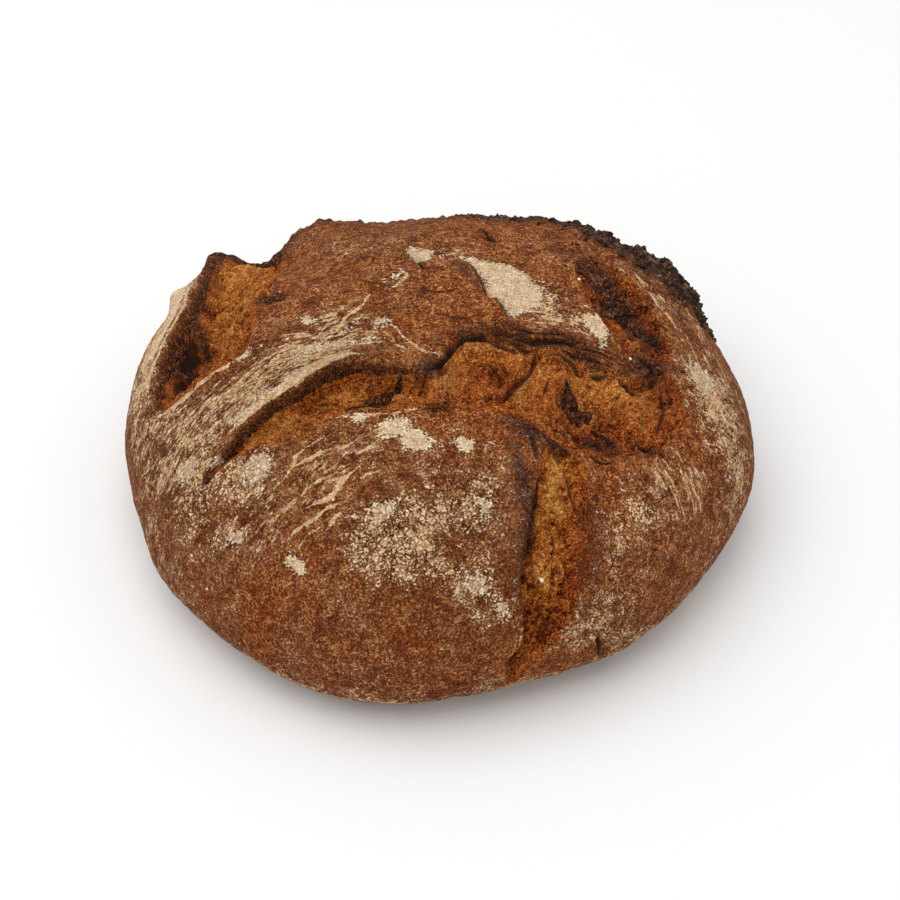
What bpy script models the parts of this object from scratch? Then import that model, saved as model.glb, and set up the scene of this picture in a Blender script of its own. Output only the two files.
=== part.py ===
"""A round spelt loaf, torn open in the oven, as one closed solid.

The loaf is laid out on a crust map. A spot (a, b) of the map is reached from the crown by walking
sqrt(a^2 + b^2) millimetres along the crust in the direction of (a, b), with +a to the loaf's right and +b to
its back. The base form is a turned profile with an uneven outline. Swells, tears, lobes, cracks, curled edges
and crags are set on it by their places on the map, and their heights are measured square to the base form.

Lengths are in millimetres up to the end, where the mesh is made in metres. +Z is up, and the loaf stands on
z = 0.
"""

import bpy
import numpy as np

METRE = 0.001

# Base form: a turned profile, fuller than an ellipse, that tucks in under its widest ring to a flat base.
LOAF_RADIUS = 120.0
LOAF_HEIGHT = 86.0
WIDEST_HEIGHT = 26.0
BASE_RADIUS = 92.0
PROFILE_POWER = 2.4
OUTLINE_WAVES = ((2, 3.4, 21.0), (3, 3.6, 85.0), (4, 2.1, 223.0), (5, 0.7, 257.0))  # waves round, mm, degrees
CROWN = (-0.8, 4.5)  # where the crown stands, with the middle of the loaf's box over the origin
BASE_FADE = 20.0     # walk over which the relief runs out above the base

# Broad swells and hollows: a, b, reach along and across, the turn of "along" in degrees, height.
SWELLS = (
    (-87.0, 76.0, 7.0, 12.0, 30.0, 9.0),     # the peak at the back of the left tear
    (-68.0, 73.0, 10.0, 24.0, 30.0, -10.5),  # the saddle where that tear runs over the back
    (-105.0, 53.0, 3.5, 6.0, 20.0, 4.5),     # the upper end of the floured flap
    (-52.0, 94.0, 11.0, 14.0, 0.0, 4.0),
    (114.0, 48.0, 18.0, 11.0, -60.0, -4.0),
    (101.0, 65.0, 15.0, 12.0, -45.0, 3.0),   # the burnt shoulder
    (143.0, -12.0, 26.0, 24.0, 90.0, 3.0),
    (-132.0, -84.0, 22.0, 16.0, -60.0, 2.5),
    (94.0, -126.0, 22.0, 14.0, 35.0, 2.5),
    (-48.0, -156.0, 30.0, 18.0, -20.0, 2.0),
    (-35.0, 6.0, 30.0, 20.0, 20.0, 2.0),     # the cushion between the left tears
    (-30.0, -70.0, 50.0, 22.0, 0.0, 2.0),
    (13.0, -27.0, 11.0, 15.0, 10.0, 1.5),    # the crowns of the three lobes in the middle tear
    (38.0, -27.0, 10.0, 16.0, -15.0, 1.5),
    (66.0, -30.0, 15.0, 16.0, 20.0, 1.5),
    (45.0, -66.0, 5.0, 8.0, 0.0, 2.5),       # the crumb that bulges in the front furrow
    (45.0, -95.0, 4.0, 22.0, 0.0, 1.5),
    (78.0, 78.0, 10.0, 10.0, 0.0, -2.5),
    (14.0, 104.0, 7.0, 8.0, 0.0, 1.5),
)

# Tears: depth of the floor, then knots clockwise round the edge: a, b, width of the wall there, height of the
# curled edge.
TEARS = (
    (9.0, (  # left tear, sloping down from the right to the foot of the flap
        (-106, -20, 12, 1), (-111, -15, 6, 2), (-111, -3, 5, 3), (-106, 9, 5, 4), (-101, 20, 5, 4),
        (-96, 31, 5, 4), (-95, 46, 5, 4), (-95, 59, 5, 3), (-93, 72, 8, 0), (-89, 85, 14, 0),
        (-79, 96, 24, 0), (-69, 91, 24, 0), (-66, 70, 22, 0), (-62, 50, 22, 0), (-61, 37, 22, 0),
        (-64, 26, 22, 0), (-67, 16, 22, 0), (-68, 4, 20, 0), (-71, -6, 18, 0), (-84, -11, 16, 0),
        (-96, -16, 14, 0),
    )),
    (16.0, (  # the dark valley along the foot of the flap
        (-107, -15, 8, 0), (-109, -9, 6, 0), (-109, 0, 5, 0), (-104, 11, 5, 0), (-99, 22, 5, 0),
        (-94, 34, 5, 0), (-93, 46, 5, 0), (-91, 52, 6, 0), (-88, 44, 8, 0), (-86, 32, 9, 0), (-87, 12, 10, 0),
        (-92, -4, 10, 0), (-100, -12, 8, 0),
    )),
    (9.0, (  # left furrow, overhung by the floured band
        (-86, -60, 6, 0), (-76, -48, 4, 2), (-63, -36, 4, 3), (-54, -30, 4, 3), (-45, -23, 4, 3),
        (-33, -18, 4, 2), (-18, -19, 4, 2), (-5, -22, 5, 1), (1, -28, 6, 0), (-1, -38, 9, 0),
        (-18, -42, 14, 0), (-33, -42, 14, 0), (-45, -46, 14, 0), (-60, -51, 12, 0), (-74, -55, 9, 0),
    )),
    (5.0, (  # middle tear, under the layered crust at its back
        (0, -22, 5, 0), (3, -13, 4, 0.5), (10, -7, 4, 1), (22, -6, 4, 1), (36, -6, 4, 1), (50, -11, 4, 1),
        (62, -17, 4, 1), (72, -17, 5, 0.5), (82, -10, 8, 0), (92, -15, 16, 0), (94, -30, 20, 0),
        (85, -46, 16, 0), (70, -55, 10, 0), (57, -56, 7, 0), (45, -60, 7, 0.5), (36, -50, 8, 0.5),
        (22, -44, 20, 0), (8, -42, 12, 0),
    )),
    (6.0, (  # front furrow, running down the front
        (45, -52, 12, 0), (53, -58, 8, 0), (57, -72, 6, 0.5), (60, -88, 6, 1), (60, -104, 6, 1),
        (57, -116, 6, 0.5), (51, -131, 5, 0.5), (43, -142, 5, 0), (37, -155, 5, 0), (31, -142, 4, 0),
        (35, -130, 5, 0.5), (33, -118, 5, 0.5), (31, -106, 5, 1), (33, -92, 5, 1), (36, -75, 5, 1),
        (39, -60, 5, 0.5),
    )),
    (2.0, (  # right tear, a rough scrape
        (52, 46, 8, 0), (60, 52, 8, 0), (70, 45, 8, 0), (78, 34, 8, 0), (84, 22, 8, 0), (89, 8, 8, 0),
        (88, -4, 8, 0), (80, -9, 6, 0), (72, -6, 6, 0), (65, 4, 8, 0), (58, 18, 8, 0), (53, 32, 8, 0),
    )),
)
TEAR_REACH = 21.0  # how far from its edge a tear is still looked for
CURL_REACH = 7.0
CURL_FOOT = 3.0    # how far into the tear a curled edge comes down
FULL_CURL = 2.0    # an edge that curls up this high has a wall that drops at once

# Lobes of crumb that the oven pushed up in the middle tear: knots round each, and the height of their tops.
LOBES = (
    ((4, -37), (2, -29), (4, -17), (10, -9), (20, -8), (30, -8), (34, -11), (33, -19), (29, -27),
     (25, -36), (14, -40)),
    ((38, -10), (43, -9), (49, -12), (50, -19), (46, -25), (46, -35), (41, -41), (33, -42), (29, -38),
     (32, -28), (35, -19)),
    ((52, -22), (56, -17), (63, -17), (70, -21), (76, -29), (77, -38), (75, -50), (70, -50), (66, -43),
     (59, -40), (55, -34)),
)
LOBE_HEIGHT = 2.4
LOBE_WALL = 2.2
LOBE_RIM = 0.8

# Cracks: half width, depth, then knots along them.
CRACKS = (
    (2.0, 4.0, ((-8, -24), (0, -21), (3, -14), (10, -6), (20, -5), (30, -6), (40, -4), (48, -8), (56, -13),
                (66, -17), (74, -13), (82, -5))),
    (2.0, 2.0, ((20, -3), (30, -4), (40, -3), (50, -4), (60, -8))),
    (2.5, 5.0, ((-3, -41), (3, -39), (8, -41))),
    (3.0, 4.0, ((50, -22), (49, -32), (52, -44))),
    (3.0, 3.0, ((28, -12), (25, -24), (26, -38))),
    (3.0, 6.0, ((-65, 24), (-60, 26), (-54, 25))),
    (1.5, 2.5, ((71, -125), (76, -130), (81, -136))),
    (2.0, 2.5, ((20, 72), (23, 66), (27, 61))),
)

# Steps: the crust on the left of the line stands up by this height, and falls away from it over this width.
STEPS = (
    (3.5, 16.0, ((38, 1), (29, 5), (25, 10), (23, 16), (19, 18), (18, 28), (15, 40), (9, 52))),
    (2.0, 10.0, ((0, 47), (-7, 45), (-12, 50), (-15, 60))),
)
STEP_RISE = 2.0
LINE_REACH = 4.0  # how many widths from its line a crack or step is still looked for

# Charred crumb that stands up in crags: size of the crags, number of their noise, and then where they stand,
# as a, b, reach along and across, turn, height.
CRAGS = (
    (7.0, 20, ((96, 66, 28, 14, -50, 3.5), (56, 88, 24, 8, -20, 1.5), (70, 30, 16, 24, 0, 2.5))),
    (4.2, 50, ((80, 72, 14, 9, -40, 3.0), (94, 62, 13, 9, -50, 3.0), (62, 88, 16, 7, -25, 2.7),
               (38, 94, 16, 5, -5, 1.8), (66, 34, 14, 7, -62, 2.4), (80, 2, 6, 12, 0, 1.8),
               (-88, 85, 8, 5, 30, 1.5), (-68, 92, 18, 4, 20, 1.5))),
)

# Uneven ground as size of its lumps, height and number of its noise: the crust everywhere, and the crumb in
# the tears.
CRUST_GROUND = ((46.0, 1.2, 0), (17.0, 0.5, 1))
CRUMB_GROUND = ((11.0, 1.6, 10), (5.5, 1.0, 11))

# The sheet of crust is a fine grid of spots, closer meshed at the crown than at the rim, and thinned where it
# is smooth.
GRID_CELLS = 190
SHEET_REACH = 199.0
CLOSER_AT_CROWN = 0.15
KEPT_SHARE = 0.155

CRUST_BROWN = (0.166, 0.050, 0.017, 1.0)
CRUST_ROUGHNESS = 0.85


def smooth_step(value, start, end):
    """0 before start, 1 after end, and a smooth rise between them."""
    share = np.clip((value - start) / (end - start), 0.0, 1.0)
    return share * share * (3.0 - 2.0 * share)


def turned_profile(samples=400):
    """Walk along the crust, radius and height, from the crown over the widest ring to the base's middle."""
    turn = np.linspace(0.0, np.pi / 2, samples)
    power = 2.0 / PROFILE_POWER
    radius = np.concatenate([
        LOAF_RADIUS * np.sin(turn) ** power,
        BASE_RADIUS + (LOAF_RADIUS - BASE_RADIUS) * np.cos(turn[1:]),
        [0.0],
    ])
    height = np.concatenate([
        WIDEST_HEIGHT + (LOAF_HEIGHT - WIDEST_HEIGHT) * np.cos(turn) ** power,
        WIDEST_HEIGHT * (1.0 - np.sin(turn[1:])),
        [0.0],
    ])
    walk = np.concatenate([[0.0], np.cumsum(np.hypot(np.diff(radius), np.diff(height)))])
    return walk, radius, height


WALK, RADIUS, HEIGHT = turned_profile()
BASE_WALK = WALK[-2]


def base_form(spot):
    """The loaf without its tears: spots of the crust map, (n, 2), to points in space, (n, 3)."""
    walk = np.hypot(spot[:, 0], spot[:, 1])
    heading = np.arctan2(spot[:, 1], spot[:, 0])
    outline = np.ones(len(spot))
    for waves, swell, turn in OUTLINE_WAVES:
        outline += swell / LOAF_RADIUS * np.cos(waves * heading - np.radians(turn))
    radius = np.interp(walk, WALK, RADIUS) * outline
    height = np.interp(walk, WALK, HEIGHT)
    return np.stack([radius * np.cos(heading), radius * np.sin(heading), height], axis=1)


def base_normal(spot, step=0.5):
    """Unit normals of the base form, from short walks to the right and to the back."""
    to_right = base_form(spot + (step, 0.0)) - base_form(spot - (step, 0.0))
    to_back = base_form(spot + (0.0, step)) - base_form(spot - (0.0, step))
    normal = np.cross(to_right, to_back)
    return normal / np.maximum(np.linalg.norm(normal, axis=1, keepdims=True), 1e-9)


def corner_value(corner, seed):
    """A fixed value from -1 to 1 for each corner of a lattice, by mixing the bits of its whole numbers."""
    mixed = corner[:, 0] * 73856093 ^ corner[:, 1] * 19349663 ^ corner[:, 2] * 83492791 ^ seed * 2654435
    mixed = (mixed ^ (mixed >> 13)) * 1274126177 & 0x7FFFFFFF
    return (mixed ^ (mixed >> 16)) % 20001 / 10000.0 - 1.0


def lumps(points, size, seed):
    """Smooth noise from -1 to 1 with lumps about size across: a lattice's corner values, blended between."""
    place = points / size + seed * 7.31
    corner = np.floor(place).astype(np.int64)
    share = place - corner
    share = share * share * (3.0 - 2.0 * share)
    total = np.zeros(len(points))
    for step in np.ndindex(2, 2, 2):
        weight = np.prod(np.where(step, share, 1.0 - share), axis=1)
        total += weight * corner_value(corner + step, seed)
    return total


def mound(spot, a, b, along, across, turn):
    """1 at (a, b), falling off as a bell curve with one reach along its own direction and one across it."""
    turn = np.radians(turn)
    right, back = spot[:, 0] - a, spot[:, 1] - b
    lengthwise = (right * np.cos(turn) + back * np.sin(turn)) / along
    crosswise = (back * np.cos(turn) - right * np.sin(turn)) / across
    return np.exp(-0.5 * (lengthwise**2 + crosswise**2))


def curve_through(knots, closed=False, steps=6):
    """Closely spaced rows on a smooth curve (Catmull-Rom) through the knots, with all their columns."""
    knots = np.array(knots, float)
    if closed:
        ends = np.concatenate([knots[-1:], knots, knots[:2]])
    else:
        ends = np.concatenate([[2 * knots[0] - knots[1]], knots, [2 * knots[-1] - knots[-2]]])
    t = np.arange(steps)[:, None] / steps
    spans = [
        p1 + 0.5 * ((p2 - p0) * t + (2 * p0 - 5 * p1 + 4 * p2 - p3) * t**2 + (3 * (p1 - p2) + p3 - p0) * t**3)
        for p0, p1, p2, p3 in zip(ends, ends[1:], ends[2:], ends[3:])
    ]
    return np.concatenate([*spans, ends[-2:-1]])


def nearest_on(spot, curve):
    """For each spot and each short run of the curve: the gap between them, and the row at the gap's foot."""
    start, run = curve[:-1], np.diff(curve, axis=0)
    offset = spot[:, None] - start[:, :2]
    share = np.clip((offset * run[:, :2]).sum(axis=2) / (run[:, :2] ** 2).sum(axis=1), 0.0, 1.0)
    foot = start + share[..., None] * run
    return np.linalg.norm(spot[:, None] - foot[..., :2], axis=2), foot


def near_curve(spot, curve, reach):
    """Places in the list of the spots that lie in the curve's own box, grown by reach."""
    low, high = curve[:, :2].min(axis=0) - reach, curve[:, :2].max(axis=0) + reach
    return np.flatnonzero(np.all((spot > low) & (spot < high), axis=1))


def beside(spot, curve, reach):
    """The distance of each spot from a curve, positive on its left, and the share of the way along it."""
    distance = np.full(len(spot), reach)
    along = np.zeros(len(spot))
    near = near_curve(spot, curve, reach)
    share = np.linspace(0.0, 1.0, len(curve))
    gap, foot = nearest_on(spot[near], np.column_stack([curve, share]))
    nearest = gap.argmin(axis=1)
    row = np.arange(len(near))
    way, off = np.diff(curve, axis=0)[nearest], spot[near] - curve[nearest]
    left = way[:, 0] * off[:, 1] - way[:, 1] * off[:, 0] > 0
    distance[near] = np.where(left, 1.0, -1.0) * gap[row, nearest]
    along[near] = foot[row, nearest, 2]
    return distance, along


def within(spot, outline, reach):
    """How far each spot is inside a closed outline (outside it is negative). Where the outline carries them,
    the same counted in widths of the wall, and the height of the edge's curl there. Inside is where a line to
    the right crosses an odd number of runs, and the wall that counts is the one the fewest widths away."""
    distance = np.full(len(spot), -reach)
    widths = np.zeros(len(spot))
    curl = np.zeros(len(spot))
    near = near_curve(spot, outline, reach)
    gap, foot = nearest_on(spot[near], outline)
    across, up = spot[near, :1], spot[near, 1:]
    (a0, b0), (a1, b1) = outline[:-1, :2].T, outline[1:, :2].T
    spans = (b0 > up) != (b1 > up)
    meets = a0 + (up - b0) * (a1 - a0) / np.where(b1 == b0, 1e-9, b1 - b0)
    inside = (spans & (across < meets)).sum(axis=1) % 2 == 1
    nearest = gap.argmin(axis=1)
    distance[near] = np.where(inside, 1.0, -1.0) * gap.min(axis=1)
    if outline.shape[1] > 2:
        widths[near] = np.where(inside, (gap / np.maximum(foot[..., 2], 1.0)).min(axis=1), 0.0)
        curl[near] = foot[np.arange(len(near)), nearest, 3]
    return distance, widths, curl


def end_fade(along, share=0.2):
    """1 along the middle of a curve, running out to 0 at its two ends."""
    return smooth_step(along, 0.0, share) * smooth_step(1.0 - along, 0.0, share)


def torn_ground(spot):
    """How deep the tears are at each spot, how high their edges curl, and how far the spot is inside, 0 to 1.
    The wall under a curled edge drops at once, and the others fall away softly."""
    depth, curl, inside = np.zeros((3, len(spot)))
    for floor, knots in TEARS:
        distance, widths, edge = within(spot, curve_through(knots, closed=True), TEAR_REACH)
        keen = np.clip(edge / FULL_CURL, 0.0, 1.0)
        drop = 1.0 - (1.0 - np.clip(widths, 0.0, 1.0)) ** 3
        depth = np.maximum(depth, floor * (smooth_step(widths, 0.0, 1.0) * (1.0 - keen) + drop * keen))
        curl = np.maximum(curl, edge * np.exp(-((distance / CURL_REACH) ** 2)))
        inside = np.maximum(inside, smooth_step(distance, 0.0, CURL_FOOT))
    return depth, curl * (1.0 - inside), inside


def crack_depth(spot):
    """Depth of the cracks: a rounded groove beside each line, shallower towards its ends."""
    depth = np.zeros(len(spot))
    for half_width, floor, knots in CRACKS:
        distance, along = beside(spot, curve_through(knots), LINE_REACH * half_width)
        depth = np.maximum(depth, floor * np.exp(-((distance / half_width) ** 2)) * end_fade(along))
    return depth


def step_height(spot):
    """Height of the steps: a rise at the line, and a slope away from it on the left."""
    height = np.zeros(len(spot))
    for step, width, knots in STEPS:
        distance, along = beside(spot, curve_through(knots), LINE_REACH * width)
        rise = smooth_step(distance, 0.0, STEP_RISE) * np.exp(-((distance / width) ** 2))
        height += step * rise * end_fade(along)
    return height


def lobe_height(spot):
    """Height of the lobes: a wall up to a flat top, with a low rim along the wall's upper edge."""
    height = np.zeros(len(spot))
    for knots in LOBES:
        distance, _, _ = within(spot, curve_through(knots, closed=True), LOBE_WALL)
        height += LOBE_HEIGHT * smooth_step(distance, 0.0, LOBE_WALL)
        height += LOBE_RIM * np.exp(-((distance - LOBE_WALL) ** 2))
    return height


def crag_height(spot, points):
    """Height of the charred crags: noise folded up at its middle value, so that it stands in ridges."""
    height = np.zeros(len(spot))
    for size, seed, places in CRAGS:
        crags = np.abs(lumps(points, size, seed))
        for a, b, along, across, turn, crag in places:
            height += crag * mound(spot, a, b, along, across, turn) * crags
    return height


def relief(spot, points):
    """Height of the crust over the base form at each spot, nothing on the flat base."""
    depth, curl, inside = torn_ground(spot)
    height = curl - depth + step_height(spot) - crack_depth(spot)
    height += lobe_height(spot) + crag_height(spot, points)
    for a, b, along, across, turn, swell in SWELLS:
        height += swell * mound(spot, a, b, along, across, turn)
    for size, uneven, seed in CRUST_GROUND:
        height += uneven * lumps(points, size, seed)
    for size, uneven, seed in CRUMB_GROUND:
        height += uneven * inside * lumps(points, size, seed)
    walk = np.hypot(spot[:, 0], spot[:, 1])
    return height * smooth_step(BASE_WALK - walk, 0.0, BASE_FADE)


def crust_sheet():
    """Spots of a square grid drawn out to a disc: each side is bent to an arc, with a spot (x, y) of the
    square at x sqrt(1 - y^2/2) and y sqrt(1 - x^2/2) of the disc, closer meshed towards the crown."""
    line = np.linspace(-1.0, 1.0, GRID_CELLS + 1)
    x, y = (side.ravel() for side in np.meshgrid(line, line))
    disc = np.stack([x * np.sqrt(1.0 - y**2 / 2.0), y * np.sqrt(1.0 - x**2 / 2.0)], axis=1)
    radius = np.linalg.norm(disc, axis=1, keepdims=True)
    return disc * SHEET_REACH * (1.0 - CLOSER_AT_CROWN + CLOSER_AT_CROWN * radius**2)


def sheet_faces():
    """Squares between the rows and columns of the grid, and one face on the base with many sides."""
    side = GRID_CELLS + 1
    place = np.arange(side * side).reshape(side, side)
    squares = np.stack([place[:-1, :-1], place[:-1, 1:], place[1:, 1:], place[1:, :-1]], axis=-1)
    rim = np.concatenate([place[0, :-1], place[:-1, -1], place[-1, :0:-1], place[:0:-1, 0]])
    return [*squares.reshape(-1, 4).tolist(), rim[::-1].tolist()]


def bread_material():
    """Baked brown crust."""
    material = bpy.data.materials.new("baked_crust")
    material.use_nodes = True
    shader = material.node_tree.nodes["Principled BSDF"]
    shader.inputs["Base Color"].default_value = CRUST_BROWN
    shader.inputs["Roughness"].default_value = CRUST_ROUGHNESS
    return material


def make_loaf():
    """The loaf: the sheet of crust raised by its relief, closed on its base, and thinned where smooth."""
    spot = crust_sheet()
    points = base_form(spot)
    points += relief(spot, points)[:, None] * base_normal(spot)
    points[:, 2] = np.maximum(points[:, 2], 0.0)
    points[:, :2] += CROWN
    mesh = bpy.data.meshes.new("loaf")
    mesh.from_pydata(points * METRE, [], sheet_faces())
    mesh.materials.append(bread_material())
    loaf = bpy.data.objects.new("loaf", mesh)
    bpy.context.collection.objects.link(loaf)
    thin = loaf.modifiers.new("thin", "DECIMATE")
    thin.ratio = KEPT_SHARE
    mesh.shade_smooth()
    return loaf


for leftover in list(bpy.data.objects):
    bpy.data.objects.remove(leftover, do_unlink=True)
make_loaf()
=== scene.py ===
"""A round spelt loaf, torn open in the oven, floured and dark crusted: the finish of its crust and its crumb.

The crust is laid out on a map, in millimetres: a spot (a, b) is reached from the crown by walking
sqrt(a^2 + b^2) along the crust in the direction of (a, b), with +a to the loaf's right and +b to its back.
"""

import bmesh
import bpy
import numpy as np
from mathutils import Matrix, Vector


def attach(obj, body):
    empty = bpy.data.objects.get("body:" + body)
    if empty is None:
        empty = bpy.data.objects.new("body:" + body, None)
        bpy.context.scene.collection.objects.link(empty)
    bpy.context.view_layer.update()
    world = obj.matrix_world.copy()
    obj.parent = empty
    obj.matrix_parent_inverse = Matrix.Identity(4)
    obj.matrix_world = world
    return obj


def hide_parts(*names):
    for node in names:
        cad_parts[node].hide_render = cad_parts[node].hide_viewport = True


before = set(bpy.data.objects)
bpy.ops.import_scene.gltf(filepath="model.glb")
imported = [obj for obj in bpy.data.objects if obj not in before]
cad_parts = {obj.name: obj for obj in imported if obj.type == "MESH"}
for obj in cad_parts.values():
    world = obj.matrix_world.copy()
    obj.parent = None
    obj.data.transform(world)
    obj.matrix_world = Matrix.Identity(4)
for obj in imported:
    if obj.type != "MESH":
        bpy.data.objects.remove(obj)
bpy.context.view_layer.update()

# --------------------------------------------------------------------------------------------------
# The form of the loaf: a round of dough that rose, spread and burst. Its skin is a turned profile with an
# uneven outline and swells, cut by tears, cracks and steps, which are curves and outlines on the crust map.

MM = 0.001
LOAF_RADIUS = 120.0
LOAF_HEIGHT = 86.0
WIDEST_HEIGHT = 26.0
BASE_RADIUS = 92.0
FADE_TO_BASE = 20.0
PROFILE_POWER = 2.4
OUTLINE_WAVES = ((2, 3.4, 21.0), (3, 3.6, 85.0), (4, 2.1, 223.0), (5, 0.7, 257.0))  # waves round, mm, degrees
CROWN = (-0.8, 4.5)

SWELLS = (  # a, b, reach along and across, turn of "along" in degrees, height
    (-87, 76, 7, 12, 30, 9.0),      # the peak at the back of the left tear
    (-68, 73, 10, 24, 30, -10.5),   # the saddle where that tear runs over the back
    (-105, 53, 3.5, 6, 20, 4.5),    # the upper end of the floured flap
    (-52, 94, 11, 14, 0, 4.0),
    (114, 48, 18, 11, -60, -4.0),
    (101, 65, 15, 12, -45, 3.0),    # the burnt shoulder
    (143, -12, 26, 24, 90, 3.0),
    (-132, -84, 22, 16, -60, 2.5),
    (94, -126, 22, 14, 35, 2.5),
    (-48, -156, 30, 18, -20, 2.0),
    (-35, 6, 30, 20, 20, 2.0),      # the cushion between the left tears
    (-30, -70, 50, 22, 0, 2.0),
    (13, -27, 11, 15, 10, 1.5),     # the crowns of the three lobes in the middle tear
    (38, -27, 10, 16, -15, 1.5),
    (66, -30, 15, 16, 20, 1.5),
    (45, -66, 5, 8, 0, 2.5),        # the crumb that bulges in the front furrow
    (45, -95, 4, 22, 0, 1.5),
    (78, 78, 10, 10, 0, -2.5),
    (14, 104, 7, 8, 0, 1.5),
)
LOBES = (  # tongues of crumb that the oven pushed up in the middle tear, as outlines
    ((4, -37), (2, -29), (4, -17), (10, -9), (20, -8), (30, -8), (34, -11), (33, -19), (29, -27), (25, -36),
     (14, -40)),
    ((38, -10), (43, -9), (49, -12), (50, -19), (46, -25), (46, -35), (41, -41), (33, -42), (29, -38),
     (32, -28), (35, -19)),
    ((52, -22), (56, -17), (63, -17), (70, -21), (76, -29), (77, -38), (75, -50), (70, -50), (66, -43),
     (59, -40), (55, -34)),
)
LOBE_HEIGHT = 2.4
LOBE_WALL = 2.2
LOBE_RIM = 0.8

# Tears: depth of the floor, then knots clockwise round the edge: a, b, width of the wall, curl of the edge.
LEFT_TEAR = (9, (
    (-106, -20, 12, 1), (-111, -15, 6, 2), (-111, -3, 5, 3), (-106, 9, 5, 4), (-101, 20, 5, 4),
    (-96, 31, 5, 4), (-95, 46, 5, 4), (-95, 59, 5, 3), (-93, 72, 8, 0), (-89, 85, 14, 0), (-79, 96, 24, 0),
    (-69, 91, 24, 0), (-66, 70, 22, 0), (-62, 50, 22, 0), (-61, 37, 22, 0), (-64, 26, 22, 0),
    (-67, 16, 22, 0), (-68, 4, 20, 0), (-71, -6, 18, 0), (-84, -11, 16, 0), (-96, -16, 14, 0),
))
DARK_VALLEY = (16, (
    (-107, -15, 8, 0), (-109, -9, 6, 0), (-109, 0, 5, 0), (-104, 11, 5, 0), (-99, 22, 5, 0),
    (-94, 34, 5, 0), (-93, 46, 5, 0), (-91, 52, 6, 0), (-88, 44, 8, 0), (-86, 32, 9, 0), (-87, 12, 10, 0),
    (-92, -4, 10, 0), (-100, -12, 8, 0),
))
LEFT_FURROW = (9, (
    (-86, -60, 6, 0), (-76, -48, 4, 2), (-63, -36, 4, 3), (-54, -30, 4, 3), (-45, -23, 4, 3),
    (-33, -18, 4, 2), (-18, -19, 4, 2), (-5, -22, 5, 1), (1, -28, 6, 0), (-1, -38, 9, 0), (-18, -42, 14, 0),
    (-33, -42, 14, 0), (-45, -46, 14, 0), (-60, -51, 12, 0), (-74, -55, 9, 0),
))
MIDDLE_TEAR = (5, (
    (0, -22, 5, 0), (3, -13, 4, 0.5), (10, -7, 4, 1), (22, -6, 4, 1), (36, -6, 4, 1), (50, -11, 4, 1),
    (62, -17, 4, 1), (72, -17, 5, 0.5), (82, -10, 8, 0), (92, -15, 16, 0), (94, -30, 20, 0),
    (85, -46, 16, 0), (70, -55, 10, 0), (57, -56, 7, 0), (45, -60, 7, 0.5), (36, -50, 8, 0.5),
    (22, -44, 20, 0), (8, -42, 12, 0),
))
FRONT_FURROW = (6, (
    (45, -52, 12, 0), (53, -58, 8, 0), (57, -72, 6, 0.5), (60, -88, 6, 1), (60, -104, 6, 1),
    (57, -116, 6, 0.5), (51, -131, 5, 0.5), (43, -142, 5, 0), (37, -155, 5, 0), (31, -142, 4, 0),
    (35, -130, 5, 0.5), (33, -118, 5, 0.5), (31, -106, 5, 1), (33, -92, 5, 1), (36, -75, 5, 1),
    (39, -60, 5, 0.5),
))
RIGHT_TEAR = (2, (
    (52, 46, 8, 0), (60, 52, 8, 0), (70, 45, 8, 0), (78, 34, 8, 0), (84, 22, 8, 0), (89, 8, 8, 0),
    (88, -4, 8, 0), (80, -9, 6, 0), (72, -6, 6, 0), (65, 4, 8, 0), (58, 18, 8, 0), (53, 32, 8, 0),
))
TEARS = (LEFT_TEAR, DARK_VALLEY, LEFT_FURROW, MIDDLE_TEAR, FRONT_FURROW, RIGHT_TEAR)
TEAR_REACH = 21.0
CURL_REACH = 7.0

CRACKS = (  # half width, depth, knots along the crack
    (2.0, 4.0, ((-8, -24), (0, -21), (3, -14), (10, -6), (20, -5), (30, -6), (40, -4), (48, -8), (56, -13),
                (66, -17), (74, -13), (82, -5))),
    (2.0, 2.0, ((20, -3), (30, -4), (40, -3), (50, -4), (60, -8))),
    (2.5, 5.0, ((-3, -41), (3, -39), (8, -41))),
    (3.0, 4.0, ((50, -22), (49, -32), (52, -44))),
    (3.0, 3.0, ((28, -12), (25, -24), (26, -38))),
    (3.0, 6.0, ((-65, 24), (-60, 26), (-54, 25))),
    (1.5, 2.5, ((71, -125), (76, -130), (81, -136))),
    (2.0, 2.5, ((20, 72), (23, 66), (27, 61))),
)
STEPS = (  # the crust on the left of the line stands up by this height, and falls away over this width
    (3.5, 16.0, ((38, 1), (29, 5), (25, 10), (23, 16), (19, 18), (18, 28), (15, 40), (9, 52))),
    (2.0, 10.0, ((0, 47), (-7, 45), (-12, 50), (-15, 60))),
)
STEP_RISE = 2.0
CRAGS = ((96, 66, 28, 14, -50, 3.5), (56, 88, 24, 8, -20, 1.5), (70, 30, 16, 24, 0, 2.5))
CRAG_GROUND = 7.0
CRUST_GROUND = ((46, 1.2), (17, 0.5))
CRUMB_GROUND = ((11, 1.6), (5.5, 1.0))


def smooth_step(value, start, end):
    """0 before start, 1 after end, and 3t^2 - 2t^3 of the share t of the way between them."""
    share = np.clip((value - start) / (end - start), 0.0, 1.0)
    return share * share * (3.0 - 2.0 * share)


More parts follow.
